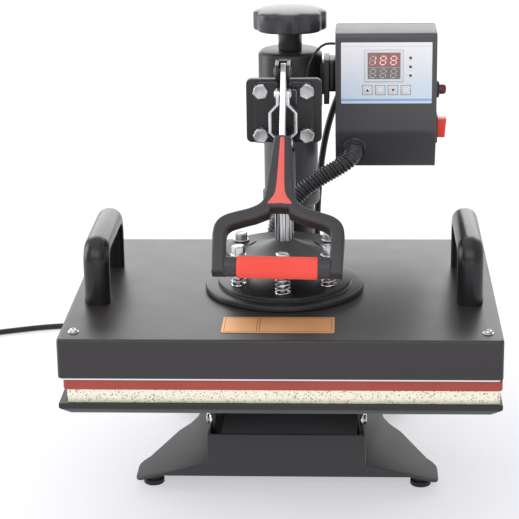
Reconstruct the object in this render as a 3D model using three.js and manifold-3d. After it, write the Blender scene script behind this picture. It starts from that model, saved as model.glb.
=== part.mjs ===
// Flat heat press with a swing-away arm. Millimetres, +X right, +Y to the back, +Z up.
// Z = 0 is the table, and X = Y = 0 is the middle of the press's footprint.
import * as THREE from 'three';
import { mergeVertices } from 'three/addons/utils/BufferGeometryUtils.js';
import Module from 'manifold-3d';

const wasm = await Module();
wasm.setup();

// Overall sizes, from which the main places follow
const totalDepth = 430;
const coverTopHeight = 204;
const pressToCoverFront = 147;
const columnToCoverFront = 357;
const baseFrontToCoverFront = 140;

// Clearances and cutting
const restGap = 0.3;
const runGap = 0.4;
const pinGap = 0.3;
const overrun = 2;
const weldTolerance = 0.0001;

// Heater cover: folded sheet box, open below
const coverWidth = 390;
const coverDepth = 300;
const coverHeight = 36;
const sheetWall = 1.5;
const coverCornerRadius = 5;
const coverEdgeRadius = 3;

// Heating plate, its insulation, and the pads under it
const heatPlateInset = 2;
const heatPlateThickness = 12.4;
const heatPlateReveal = 2.4;
const siliconeThickness = 8.8;
const siliconeLeftInset = 4.3;
const siliconeRightInset = 0.4;
const foamThickness = 12.2;
const foamLeftInset = 7;
const foamRightInset = 1.5;
const padInset = 2.5;
const padCornerRadius = 4;

// Lower platen tray
const trayDepthInset = 2;
const trayHeight = 11.3;
const trayBevelRun = 10;
const trayBevelRise = 6.5;
const trayWall = 3;

// Base: one folded sheet with a waist, a front panel and four feet
const baseHalfWidth = 147;
const baseWaistHalf = 94;
const baseFlatHalf = 77;
const baseFlatHeight = 25;
const baseTipHeight = 7.9;
const baseSheet = 2.5;
const baseEndRun = 42;
const baseShoulderRun = 62;
const baseFlareHalf = 121;
const basePanelHalf = 76;
const basePanelTop = 56;
const basePanelBottom = 12;
const baseWallBack = 250;
const footRadius = 9.5;
const footEdge = 0.45;
const footRimHeight = 4;
const footNeckRadius = 7.5;
const footAcross = 130;
const footInset = 13;

// Bracket that carries the lower platen inside the base
const platenBracketHalf = 71;
const platenBracketSheet = 3;
const platenBracketFront = 12;
const platenBracketDepth = 120;
const bracketBoltHeight = 70;
const bracketBoltRadius = 5;
const bracketBoltHead = 3;

// Column
const postRadius = 23.7;
const postWall = 4;
const postPlugDepth = 22;
const postTopDrop = 30;
const postFlangeRadius = 46;
const postFlangeThickness = 6;
const sleeveBoreRadius = 24.2;
const sleeveRadius = 27.75;
const sleeveLength = 89;
const collarRadius = 29.75;
const collarHeight = 14;
const headRadius = 32.5;
const headTopHeight = 388;
const routedHeadRise = 184;
const routedCoverHeight = 204;
const headHeight = 59;
const headCapThickness = 12;
const headEdge = 2;

// Pressure knob and its screw
const screwRadius = 6;
const screwReach = 80;
const hubRadius = 11.5;
const hubHeight = 15.7;
const knobRadius = 37;
const knobRimHeight = 17;
const knobDomeHeight = 11;
const knobCrownRadius = 12;
const scallopRadius = 9;
const scallopDepth = 2.4;
const knobScallops = 8;

// Arm plate and the beam that joins it to the sleeve
const armPlateWidth = 70;
const armPlateRise = 9.4;
const armPlateHeight = 60;
const armPlateThickness = 8;
const armPlateRadius = 5;
const armPlateBehindPress = 25;
const beamHalfWidth = 14;
const beamFrontHalfHeight = 22;
const beamBackHalfHeight = 27;
const beamFrontDrop = 22;
const beamBackRise = 1;

// Toggle: fulcrum above, crank pin straight below it when closed, plunger pin below that
const fulcrumRise = 21.4;
const crankRadius = 20.4;
const linkLength = 46.5;
const toggleBaseWidth = 55;
const toggleBaseThickness = 5;
const toggleBaseDrop = 2;
const cheekInner = 3.6;
const cheekThickness = 2.8;
const cheekRadius = 6.8;
const cheekBottomDrop = 12;
const cheekThroat = 10;
const cheekWebFront = 17;
const cheekWebTop = 4.6;
const cheekWebDrop = 27;
const pinRadius = 3;
const pinHeadRadius = 4.4;
const pinHeadThickness = 1.6;
const tabX = 7.4;
const tabWidth = 5;
const tabSheet = 1.6;
const tabTopDrop = 13;
const tabHeight = 16;
const tabReach = 8;
const plateBoltAcross = 20.2;
const plateBoltUpper = 12.6;
const plateBoltLower = 12.2;
const boltHeadRadius = 7.5;
const boltHeadThickness = 5.3;
const boltShankRadius = 4;

// Plunger guide
const guideRadius = 11;
const guideTopDrop = 51.6;
const guideLength = 34;
const guideRibHalf = 3.2;
const guideRibFront = 9.2;
const guideRibDrop = 36;

// Links: bent straps that straddle the fulcrum when the press is open
const linkThickness = 2.8;
const linkHalfWidth = 5;
const linkTopInner = 3.3;
const linkBulgeInner = 10.3;
const linkBottomInner = 4.4;
const linkUpperNeck = 9.2;
const linkUpperSlant = 7.4;
const linkLowerNeck = 5.3;
const linkLowerSlant = 5.9;

// Lever bar, moulded handle and grip
const leverAngle = 42.85 * Math.PI / 180;
const leverLength = 195.6;
const leverBarHalf = 2.9;
const leverEyeRadius = 8;
const crankEyeRadius = 6.8;
const leverBarWidth = 15;
const leverBarEnd = 96;
const tangHalf = 4.6;
const handleStart = 64;
const handleThickness = 16;
const handleBevel = 3;
const handleTopHalf = 6.6;
const handleBellyHalf = 9.8;
const handleBellyShare = 17 / 28;
const handleNeckHalf = 12;
const handleNeckRise = 75.6;
const shoulderHalf = 30;
const shoulderRise = 56.1;
const elbowHalf = 48;
const elbowRise = 48.6;
const forkHalf = 57.5;
const forkElbowRise = 31.6;
const forkTipDrop = 11.4;
const forkArm = 13;
const crotchRise = 48.6;
const crotchSideRise = 35.6;
const crotchRadius = 7;
const inlayTopHalf = 2.6;
const inlayTopDrop = 3;
const inlayMidHalf = 4.6;
const inlayFlareDrop = 6;
const inlayFootHalf = 11;
const inlayFootDrop = 13;
const inlayDepth = 2;
const inlayProud = 0.8;
const gripRadius = 10.2;
const gripLength = 70;
const gripEdge = 1;
const gripCoreRadius = 8;
const gripEndRadius = 9.4;

// Plunger and the spring-loaded plate stack on the cover
const plungerRadius = 8.5;
const plungerShoulderDrop = 56;
const tongueHalfThickness = 4;
const tongueHalfWidth = 5.5;
const tongueTopAbovePin = 5.2;
const discRadius = 74.2;
const discThickness = 5.5;
const discEdge = 1.5;
const raisedDiscRadius = 62;
const raisedDiscThickness = 4;
const raisedDiscEdge = 1;
const springHeight = 24.5;
const pressPlateRadius = 55;
const pressPlateThickness = 4;
const pressPlateFlat = 34;
const pressPlateRise = 5;
const bossRadius = 12;
const boltCircleRadius = 48;
const boltCount = 6;
const boltStartShare = 1 / 12;
const springBoltRadius = 3;
const springBoltHole = 3.8;
const washerRadius = 6.6;
const washerThickness = 1.3;
const springBoltHeadRadius = 5.6;
const springBoltHeadHeight = 6;
const slotRadius = 38.5;
const slotWidth = 3;
const slotLength = 17;
const springWireRadius = 0.65;
const springMeanRadius = 4.9;
const springCurls = 7;
const springSides = 5;
const platenFloat = 3;

// Side handles: moulded arches
const sideHandleInset = 24.4;
const sideHandleFrontInset = 90;
const sideHandleLength = 132;
const sideHandleHeight = 61;
const sideHandleWidth = 24;
const sideHandleLeg = 18;
const sideHandleBar = 17;
const sideHandleBend = 21;
const sideHandleInnerBend = 9;
const sideHandleRound = 6;

// Control box: case with a sloping lower face, and a back cover
const boxLeft = 46.3;
const boxWidth = 100.7;
const boxFrontToCover = 305;
const boxDepth = 57;
const boxRise = 24;
const boxHeight = 132;
const boxFaceHeight = 95;
const boxWall = 1.6;
const boxSlopeWall = 1.9;
const boxSlopeRun = 18;
const boxEdge = 2.5;
const backCoverThickness = 2;
const keySize = 9.4;
const keyPitch = 12.7;
const keyCentreX = 97.2;
const keyDrop = 55;
const keyProud = 0.9;
const keyThickness = 2.6;
const keyTravel = 0.5;
const keyCount = 4;
const rockerDrop = 100;
const rockerToFront = 30;
const rockerHalfHeight = 10;
const rockerHalfWidth = 6.5;
const rockerPivotDepth = 1;
const rockerProud = 7;
const rockerTail = 6;
const rockerTilt = 2.6;
const rockerHoleGap = 1.5;
const bezelHalfHeight = 14.5;
const bezelHalfWidth = 10;
const bezelProud = 1.6;
const lampDrop = 60.5;
const lampToFront = 28;
const lampFlangeRadius = 9.3;
const lampFlangeProud = 1.8;
const lampRadius = 5;
const lampShoulderRadius = 4;
const lampTipRadius = 2;
const lampProud = 9;

// Bracket between the column head and the control box
const bracketPlateLeft = 34.5;
const bracketPlateWidth = 5.4;
const bracketPlateDrop = 6;
const bracketPlateHeight = 45;
const bracketPlateFront = 330;
const bracketPlateDepth = 36;
const bracketThinLeft = 41;
const bracketThinWidth = 3.2;
const bracketThinDrop = 8;
const bracketThinHeight = 28;
const bracketBossRadius = 5;
const bracketBossUpperDrop = 14;
const bracketBossLowerDrop = 30;
const bracketBlockHalfHeight = 16;
const bracketBlockHalfDepth = 11;

// Corrugated conduit from the control box to the heater
const conduitRadius = 8.8;
const conduitRootRadius = 7.4;
const conduitBoreRadius = 6;
const conduitRibs = 44;
const conduitSides = 8;
const ribsPerBoreRing = 5;
const cuffRadius = 11.5;
const cuffLength = 13;
const cuffRim = 1.5;
const conduitCuffAt = [69, 311.2, 95.5];

// Switch lead and mains cord
const leadRadius = 1.25;
const leadSides = 8;
const cordRadius = 3.4;
const cordSides = 8;
const reliefRadius = 6;
const reliefRimLength = 2.5;
const reliefStep = 1;
const reliefTipRadius = 4;
const reliefLength = 26;
const coilMeanRadius = 37.5;
const coilTurns = 4;
const coilPitch = 7.3;
const coilStepsPerTurn = 24;
const coilSides = 6;
const plugLength = 38;
const plugWidth = 24;
const plugLead = 27;
const plugRound = 5;
const plugEdge = 1.5;
const plugNeckLength = 14;
const bladeLength = 17;
const bladeWidth = 6.4;
const bladeThickness = 1.6;
const bladeSpacing = 12.7;
const earthRadius = 2.4;
const earthDrop = 6;

// Limit switch behind the arm plate
const switchX = 21;
const switchWidth = 10;
const switchDepth = 6;
const switchHeight = 20;
const switchDrop = 16;

// Facet counts
const discSegments = 36;
const roundSegments = 28;
const smallSegments = 12;
const arcSegments = 3;
const gripSegments = 20;
const bevelSteps = 2;
const hexSides = 6;

// Places that follow from the sizes above
const halfDepth = totalDepth / 2;
const fromCoverFront = (distance) => distance - halfDepth;
const coverFront = fromCoverFront(0);
const pressY = fromCoverFront(pressToCoverFront);
const columnY = fromCoverFront(columnToCoverFront);
const baseFront = fromCoverFront(baseFrontToCoverFront);
const coverTop = coverTopHeight;
const coverBottom = coverTop - coverHeight;
const headBottomHeight = headTopHeight - headHeight;
const sleeveBottomHeight = headBottomHeight - sleeveLength;
const postTopHeight = headTopHeight - postTopDrop;
const boxTop = headTopHeight + boxRise;
const armPlateTop = headTopHeight + armPlateRise;
const beamFrontHeight = headTopHeight - beamFrontDrop;
const fulcrumHeight = headTopHeight + fulcrumRise;
const guideTop = headTopHeight - guideTopDrop;
const guideRibTop = headTopHeight - guideRibDrop;
const plungerShoulder = headTopHeight - plungerShoulderDrop;
const switchAt = headTopHeight - switchDrop;
const heatPlateBottom = coverBottom - heatPlateReveal;
const heatPlateTop = heatPlateBottom + heatPlateThickness;
const siliconeTop = heatPlateBottom - restGap;
const siliconeBottom = siliconeTop - siliconeThickness;
const foamBottom = siliconeBottom - foamThickness;
const trayTop = foamBottom;
const trayBottom = trayTop - trayHeight;
const trayCeiling = trayTop - trayWall;

// A routed point: x, distance behind the cover's front, and height over the cover's top. The heights
// keep their share of the way up to the head, or down to the table, when the sizes change.
function routed([x, y, z]) {
  const share = z > 0 ? (headTopHeight - coverTop) / routedHeadRise : coverTop / routedCoverHeight;
  return new THREE.Vector3(x, fromCoverFront(y), coverTop + z * share);
}

// Turns a geometry into a closed solid for cutting and joining
function solid(geometry) {
  const bare = geometry.clone();
  bare.deleteAttribute('normal');
  bare.deleteAttribute('uv');
  const merged = mergeVertices(bare, weldTolerance);
  const index = merged.index.array;
  const triangles = [];
  for (let i = 0; i < index.length; i += 3) {
    const [a, b, c] = [index[i], index[i + 1], index[i + 2]];
    if (a !== b && b !== c && c !== a) triangles.push(a, b, c);
  }
  const vertProperties = new Float32Array(merged.attributes.position.array);
  const triVerts = new Uint32Array(triangles);
  return new wasm.Manifold(new wasm.Mesh({ numProp: 3, vertProperties, triVerts }));
}

// Turns a closed solid back into a geometry that a mesh can show
function geometryOf(body) {
  const { vertProperties, triVerts } = body.getMesh();
  const geometry = new THREE.BufferGeometry();
  geometry.setAttribute('position', new THREE.BufferAttribute(vertProperties, 3));
  geometry.setIndex(new THREE.BufferAttribute(triVerts, 1));
  geometry.computeVertexNormals();
  return geometry;
}

const join = (first, ...others) => others.reduce((sum, body) => sum.add(body), first);
const cut = (first, ...others) => others.reduce((rest, body) => rest.subtract(body), first);
const common = (first, second) => first.intersect(second);

const xAxis = new THREE.Vector3(1, 0, 0);
const yAxis = new THREE.Vector3(0, 1, 0);
const zAxis = new THREE.Vector3(0, 0, 1);

function box(x0, x1, y0, y1, z0, z1) {
  const geometry = new THREE.BoxGeometry(x1 - x0, y1 - y0, z1 - z0);
  return solid(geometry.translate((x0 + x1) / 2, (y0 + y1) / 2, (z0 + z1) / 2));
}

const polygon = (points) => new THREE.Shape(points.map(([u, v]) => new THREE.Vector2(u, v)));

function roundedRectangle(u0, u1, v0, v1, radius) {
  const shape = new THREE.Shape();
  shape.absarc(u1 - radius, v0 + radius, radius, -Math.PI / 2, 0, false);
  shape.absarc(u1 - radius, v1 - radius, radius, 0, Math.PI / 2, false);
  shape.absarc(u0 + radius, v1 - radius, radius, Math.PI / 2, Math.PI, false);
  shape.absarc(u0 + radius, v0 + radius, radius, Math.PI, 1.5 * Math.PI, false);
  return shape;
}

// Extrudes a flat outline by a length along its own normal, with an optional rounded edge
function extruded(shape, length, bevel, curveSegments) {
  return new THREE.ExtrudeGeometry(shape, {
    depth: length - 2 * bevel,
    bevelEnabled: bevel > 0,
    bevelThickness: bevel,
    bevelSize: bevel,
    bevelOffset: -bevel,
    bevelSegments: bevelSteps,
    curveSegments,
  }).translate(0, 0, bevel);
}

// Prisms along each axis: the outline's two directions are X and Y, Y and Z, or X and Z
function prismZ(shape, z0, z1, bevel = 0, segments = arcSegments) {
  return solid(extruded(shape, z1 - z0, bevel, segments).translate(0, 0, z0));
}

function prismX(shape, x0, x1, bevel = 0, segments = arcSegments) {
  const turn = new THREE.Matrix4().makeBasis(yAxis, zAxis, xAxis);
  return solid(extruded(shape, x1 - x0, bevel, segments).applyMatrix4(turn).translate(x0, 0, 0));
}

function prismY(shape, y0, y1, bevel = 0, segments = arcSegments) {
  const turn = new THREE.Matrix4().makeBasis(xAxis, zAxis, yAxis.clone().negate());
  return solid(extruded(shape, y1 - y0, bevel, segments).applyMatrix4(turn).translate(0, y1, 0));
}

// Turned shapes: a profile of radius and height pairs, anticlockwise, about each axis
function turned(profile, segments = roundSegments) {
  const points = profile.map(([radius, height]) => new THREE.Vector2(radius, height));
  return new THREE.LatheGeometry(points, segments).rotateX(Math.PI / 2);
}

function turnedZ(profile, x, y, segments) {
  return solid(turned(profile, segments).translate(x, y, 0));
}

function turnedX(profile, y, z, segments) {
  return solid(turned(profile, segments).rotateY(Math.PI / 2).translate(0, y, z));
}

function turnedY(profile, x, z, segments) {
  return solid(turned(profile, segments).rotateX(-Math.PI / 2).translate(x, 0, z));
}

const rod = (radius, from, to) => [[0, from], [radius, from], [radius, to], [0, to]];
const rodZ = (radius, x, y, z0, z1, segments) => turnedZ(rod(radius, z0, z1), x, y, segments);
const rodX = (radius, y, z, x0, x1, segments) => turnedX(rod(radius, x0, x1), y, z, segments);

function ringZ(inner, outer, x, y, z0, z1, segments) {
  return turnedZ([[inner, z0], [outer, z0], [outer, z1], [inner, z1], [inner, z0]], x, y, segments);
}

// A run of rings joined into a skin; a closed run has no end caps
function skin(rings, closed) {
  const sides = rings[0].length;
  const positions = rings.flat().flatMap((point) => point.toArray());
  const index = [];
  const last = closed ? rings.length : rings.length - 1;
  for (let i = 0; i < last; i += 1) {
    const here = i * sides;
    const next = ((i + 1) % rings.length) * sides;
    for (let j = 0; j < sides; j += 1) {
      const k = (j + 1) % sides;
      index.push(here + j, here + k, next + k, here + j, next + k, next + j);
    }
  }
  if (!closed) {
    const end = (rings.length - 1) * sides;
    for (let j = 1; j < sides - 1; j += 1) {
      index.push(0, j + 1, j, end, end + j, end + j + 1);
    }
  }
  const geometry = new THREE.BufferGeometry();
  geometry.setAttribute('position', new THREE.Float32BufferAttribute(positions, 3));
  geometry.setIndex(index);
  return geometry;
}

// Frames carried along a run of points without twist, the first square to a given direction
function framesAlong(points, startAxis) {
  const frames = [];
  let normal = startAxis.clone();
  for (let i = 0; i < points.length; i += 1) {
    const before = points[Math.max(i - 1, 0)];
    const after = points[Math.min(i + 1, points.length - 1)];
    const tangent = after.clone().sub(before).normalize();
    normal = normal.clone().addScaledVector(tangent, -normal.dot(tangent)).normalize();
    frames.push({ tangent, normal, side: tangent.clone().cross(normal) });
  }
  return frames;
}

function ringAt(centre, frame, radius, sides) {
  const ring = [];
  for (let j = 0; j < sides; j += 1) {
    const angle = 2 * Math.PI * j / sides;
    ring.push(centre.clone()
      .addScaledVector(frame.normal, radius * Math.cos(angle))
      .addScaledVector(frame.side, radius * Math.sin(angle)));
  }
  return ring;
}

function woundTube(points, radius, sides, startAxis) {
  const frames = framesAlong(points, startAxis);
  return skin(points.map((point, i) => ringAt(point, frames[i], radius, sides)), false);
}

// Least gap between turns, measured on the points of the centre line
function leastGap(points, radius, skipped) {
  let least = Infinity;
  for (let i = 0; i < points.length; i += 1) {
    for (let j = i + skipped; j < points.length; j += 1) {
      least = Math.min(least, points[i].distanceTo(points[j]));
    }
  }
  return least - 2 * radius;
}

// A plain cord along a smooth curve through its points
function cordSolid(route, radius, sides, stepShare) {
  const path = new THREE.CatmullRomCurve3(route, false, 'centripetal');
  const steps = Math.max(route.length, Math.round(path.getLength() / (radius * stepShare)));
  const section = [];
  for (let j = 0; j < sides; j += 1) {
    const angle = 2 * Math.PI * j / sides;
    section.push([radius * Math.cos(angle), radius * Math.sin(angle)]);
  }
  return solid(new THREE.ExtrudeGeometry(polygon(section), { steps, extrudePath: path }));
}

// Materials
const finish = (color, roughness, metalness) => ({ color, roughness, metalness });
const blackCoat = finish(0x3a393b, 0.55, 0.2);
const greyCoat = finish(0x4b4a4d, 0.5, 0.2);
const blackPlastic = finish(0x1d1d1f, 0.35, 0);
const zinc = finish(0xd6d7da, 0.3, 0.9);
const redRubber = finish(0xe8483c, 0.55, 0);

const press = new THREE.Group();

function add(parent, name, body, look) {
  const mesh = new THREE.Mesh(geometryOf(body), new THREE.MeshStandardMaterial(look));
  mesh.name = name;
  parent.add(mesh);
  return mesh;
}

// Base: a folded sheet, flat in the middle, whose wings slope down to the feet
function baseSection(drop) {
  const top = baseFlatHeight - drop;
  const tip = baseTipHeight - drop;
  return polygon([
    [-baseHalfWidth, tip - baseSheet], [-baseFlatHalf, top - baseSheet],
    [baseFlatHalf, top - baseSheet], [baseHalfWidth, tip - baseSheet],
    [baseHalfWidth, tip], [baseFlatHalf, top], [-baseFlatHalf, top], [-baseHalfWidth, tip],
  ]);
}

const baseBack = halfDepth;
const wingSlope = (baseFlatHeight - baseTipHeight) / (baseHalfWidth - baseFlatHalf);
const wingHeightAt = (x) => baseFlatHeight - wingSlope * (x - baseFlatHalf);

function makeBase() {
  const front = baseFront;
  const back = baseBack;
  const middle = (front + back) / 2;
  const endRun = baseEndRun;
  const shoulder = baseEndRun + baseShoulderRun;
  const plan = new THREE.Shape();
  const corner = footRadius;
  plan.moveTo(-baseHalfWidth + corner, front);
  plan.lineTo(baseHalfWidth - corner, front);
  plan.quadraticCurveTo(baseHalfWidth, front, baseHalfWidth, front + corner);
  plan.lineTo(baseHalfWidth, front + endRun - corner);
  plan.quadraticCurveTo(baseHalfWidth, front + endRun, baseHalfWidth - corner, front + endRun + corner);
  plan.lineTo(baseWaistHalf + 2 * corner, front + shoulder);
  plan.quadraticCurveTo(baseWaistHalf, front + shoulder + 2 * corner, baseWaistHalf, middle);
  const waistBend = baseWaistHalf + 2 * corner;
  plan.quadraticCurveTo(baseWaistHalf, back - shoulder - 2 * corner, waistBend, back - shoulder);
  plan.lineTo(baseHalfWidth - corner, back - endRun - corner);
  plan.quadraticCurveTo(baseHalfWidth, back - endRun, baseHalfWidth, back - endRun + corner);
  plan.lineTo(baseHalfWidth, back - corner);
  plan.quadraticCurveTo(baseHalfWidth, back, baseHalfWidth - corner, back);
  plan.lineTo(-baseHalfWidth + corner, back);
  plan.quadraticCurveTo(-baseHalfWidth, back, -baseHalfWidth, back - corner);
  plan.lineTo(-baseHalfWidth, back - endRun + corner);
  plan.quadraticCurveTo(-baseHalfWidth, back - endRun, -baseHalfWidth + corner, back - endRun - corner);
  plan.lineTo(-baseWaistHalf - 2 * corner, back - shoulder);
  plan.quadraticCurveTo(-baseWaistHalf, back - shoulder - 2 * corner, -baseWaistHalf, middle);
  plan.quadraticCurveTo(-baseWaistHalf, front + shoulder + 2 * corner, -waistBend, front + shoulder);
  plan.lineTo(-baseHalfWidth + corner, front + endRun + corner);
  plan.quadraticCurveTo(-baseHalfWidth, front + endRun, -baseHalfWidth, front + endRun - corner);
  plan.lineTo(-baseHalfWidth, front + corner);
  plan.quadraticCurveTo(-baseHalfWidth, front, -baseHalfWidth + corner, front);
  const folded = prismY(baseSection(0), front - overrun, back + overrun);
  const sheet = common(prismZ(plan, 0, basePanelTop), folded);

  const flareTop = wingHeightAt(baseFlareHalf);
  const panel = polygon([
    [-baseFlareHalf, basePanelBottom], [baseFlareHalf, basePanelBottom], [baseFlareHalf, flareTop],
    [baseFlatHalf, baseFlatHeight], [basePanelHalf, baseFlatHeight], [basePanelHalf, basePanelTop],
    [-basePanelHalf, basePanelTop], [-basePanelHalf, baseFlatHeight], [-baseFlatHalf, baseFlatHeight],
    [-baseFlareHalf, flareTop],
  ]);
  const frontPanel = prismY(panel, front, front + baseSheet);
  const wallBack = fromCoverFront(baseWallBack);
  const walls = [-1, 1].map((side) => {
    const x0 = side > 0 ? basePanelHalf - baseSheet : -basePanelHalf;
    return box(x0, x0 + baseSheet, front, wallBack, baseFlatHeight - baseSheet, basePanelTop);
  });
  const heel = box(-basePanelHalf, basePanelHalf, back - baseSheet, back, basePanelBottom, baseFlatHeight);
  return join(sheet, frontPanel, heel, ...walls);
}

add(press, 'base_frame', makeBase(), greyCoat);

// Rubber feet with a wider rim, screwed under the wings
const footPlaces = { front_left: [-1, -1], front_right: [1, -1], rear_left: [-1, 1], rear_right: [1, 1] };
for (const [place, [sideX, sideY]] of Object.entries(footPlaces)) {
  const x = sideX * footAcross;
  const y = sideY > 0 ? baseBack - footInset : baseFront + footInset;
  const profile = [
    [0, 0], [footRadius - footEdge, 0], [footRadius, restGap], [footRadius, footRimHeight],
    [footNeckRadius, footRimHeight + restGap], [footNeckRadius, baseFlatHeight], [0, baseFlatHeight],
  ];
  const blank = turnedZ(profile, x, y, smallSegments);
  const under = prismY(baseSection(restGap / 2), y - 2 * footRadius, y + 2 * footRadius);
  const above = box(x - 2 * footRadius, x + 2 * footRadius, y - 2 * footRadius, y + 2 * footRadius,
    wingHeightAt(footAcross) - baseSheet, basePanelTop);
  add(press, `foot_${place}`, cut(blank, under, above), blackPlastic);
}

// Bracket that stands on the base and carries the lower platen
function makePlatenBracket() {
  const half = platenBracketHalf;
  const sheet = platenBracketSheet;
  const front = baseFront + platenBracketFront;
  const back = front + platenBracketDepth;
  const bottom = baseFlatHeight;
  const sides = [-1, 1].map((side) => {
    const x0 = side > 0 ? half - sheet : -half;
    return box(x0, x0 + sheet, front, back, bottom, trayCeiling);
  });
  const rear = box(-half, half, back - sheet, back, bottom, trayCeiling);
  const top = box(-half, half, front, back, trayCeiling - sheet, trayCeiling);
  const boltY = front + 2 * bracketBoltRadius;
  const inner = half - restGap;
  const outer = half + bracketBoltHead;
  const bolts = [[inner, outer], [-outer, -inner]].map(([x0, x1]) => rodX(bracketBoltRadius, boltY,
    bracketBoltHeight, x0, x1, smallSegments));
  return join(rear, top, ...sides, ...bolts);
}

add(press, 'platen_bracket', makePlatenBracket(), blackCoat);

// Lower platen: a steel tray turned upside down, with its lower edges bevelled all round
function makeTray() {
  const half = coverWidth / 2;
  const front = coverFront;
  const back = coverFront + coverDepth - trayDepthInset;
  const across = polygon([
    [-half + trayBevelRun, trayBottom], [half - trayBevelRun, trayBottom],
    [half, trayBottom + trayBevelRise], [half, trayTop],
    [-half, trayTop], [-half, trayBottom + trayBevelRise],
  ]);
  const along = polygon([
    [front + trayBevelRise, trayBottom], [back - trayBevelRise, trayBottom],
    [back, trayBottom + trayBevelRise], [back, trayTop], [front, trayTop],
    [front, trayBottom + trayBevelRise],
  ]);
  const outside = common(prismY(across, front, back), prismX(along, -half, half));
  const endWall = trayBevelRun + trayWall;
  const sideWall = trayBevelRise + trayWall;
  const hollow = box(-half + endWall, half - endWall, front + sideWall, back - sideWall,
    trayBottom - overrun, trayCeiling);
  return cut(outside, hollow);
}

add(press, 'lower_platen', makeTray(), blackCoat);

function padSolid(leftInset, rightInset, bottom, top) {
  const half = coverWidth / 2;
  const shape = roundedRectangle(-half + leftInset, half - rightInset, coverFront + padInset,
    coverFront + coverDepth - padInset, padCornerRadius);
  return prismZ(shape, bottom, top);
}

const foamPad = padSolid(foamLeftInset, foamRightInset, foamBottom, siliconeBottom);
const siliconePad = padSolid(siliconeLeftInset, siliconeRightInset, siliconeBottom, siliconeTop);
add(press, 'foam_pad', foamPad, finish(0xe6dfca, 0.9, 0));
add(press, 'silicone_pad', siliconePad, finish(0xb5523c, 0.7, 0));

// Column post: a flanged tube with a plug at its top, threaded for the pressure screw
const postInside = postRadius - postWall;
const postPlugBottom = postTopHeight - postPlugDepth;
const postProfile = [
  [postInside, baseFlatHeight], [postFlangeRadius, baseFlatHeight],
  [postFlangeRadius, baseFlatHeight + postFlangeThickness],
  [postRadius, baseFlatHeight + postFlangeThickness], [postRadius, postTopHeight],
  [screwRadius + runGap, postTopHeight], [screwRadius + runGap, postPlugBottom],
  [postInside, postPlugBottom], [postInside, baseFlatHeight],
];
add(press, 'column_post', turnedZ(postProfile, 0, columnY, roundSegments), blackCoat);

// Thrust bush between the post and the column head
const headInside = headTopHeight - headCapThickness;
const bush = ringZ(screwRadius + runGap, postRadius, 0, columnY, postTopHeight + restGap,
  headInside - restGap, roundSegments);
add(press, 'thrust_bush', bush, finish(0xb08d57, 0.4, 0.8));

// Sleeve, collar and head that turn on the post
add(press, 'sleeve_collar', ringZ(sleeveBoreRadius, collarRadius, 0, columnY,
  sleeveBottomHeight - collarHeight, sleeveBottomHeight, roundSegments), greyCoat);

function makeBeamBlank() {
  const plateBack = pressY + armPlateBehindPress + armPlateThickness;
  return prismX(polygon([
    [plateBack, beamFrontHeight - beamFrontHalfHeight],
    [columnY, headBottomHeight + beamBackRise - beamBackHalfHeight],
    [columnY, headBottomHeight + beamBackRise + beamBackHalfHeight],
    [plateBack, beamFrontHeight + beamFrontHalfHeight],
  ]), -beamHalfWidth, beamHalfWidth);
}

const sleeve = ringZ(sleeveBoreRadius, sleeveRadius, 0, columnY, sleeveBottomHeight, headBottomHeight,
  roundSegments);
add(press, 'arm_sleeve', sleeve, greyCoat);

const headProfile = [
  [screwRadius + runGap, headInside], [sleeveBoreRadius, headInside], [sleeveBoreRadius, headBottomHeight],
  [headRadius, headBottomHeight], [headRadius, headTopHeight - headEdge],
  [headRadius - headEdge, headTopHeight], [screwRadius + runGap, headTopHeight],
  [screwRadius + runGap, headInside],
];
add(press, 'column_head', turnedZ(headProfile, 0, columnY, roundSegments), greyCoat);

const beamClear = join(
  rodZ(sleeveRadius + restGap, 0, columnY, sleeveBottomHeight - collarHeight, headBottomHeight,
    roundSegments),
  rodZ(headRadius + restGap, 0, columnY, headBottomHeight - restGap, headTopHeight + overrun,
    roundSegments),
);
const beamBlank = cut(makeBeamBlank(), beamClear,
  box(-headRadius, headRadius, columnY, columnY + headRadius, 0, headTopHeight));
add(press, 'arm_beam', beamBlank, blackCoat);

// Arm plate with four bolt holes
const armPlateBottom = armPlateTop - armPlateHeight;
const armPlateFront = pressY + armPlateBehindPress;
const boltPlaces = [
  [-plateBoltAcross, armPlateTop - plateBoltUpper], [plateBoltAcross, armPlateTop - plateBoltUpper],
  [-plateBoltAcross, armPlateBottom + plateBoltLower], [plateBoltAcross, armPlateBottom + plateBoltLower],
];
const armPlateBlank = prismY(roundedRectangle(-armPlateWidth / 2, armPlateWidth / 2, armPlateBottom,
  armPlateTop, armPlateRadius), armPlateFront, armPlateFront + armPlateThickness);
const boltHoles = boltPlaces.map(([x, z]) => turnedY(rod(boltShankRadius + pinGap, armPlateFront - overrun,
  armPlateFront + armPlateThickness + overrun), x, z, smallSegments));
add(press, 'arm_plate', cut(armPlateBlank, ...boltHoles), blackCoat);

// Pressure screw and lobed knob
const knob = new THREE.Group();
knob.position.set(0, columnY, headTopHeight + restGap);
press.add(knob);

const knobRimBottom = hubHeight;
const knobRimTop = knobRimBottom + knobRimHeight;
const knobTop = knobRimTop + knobDomeHeight;

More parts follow.
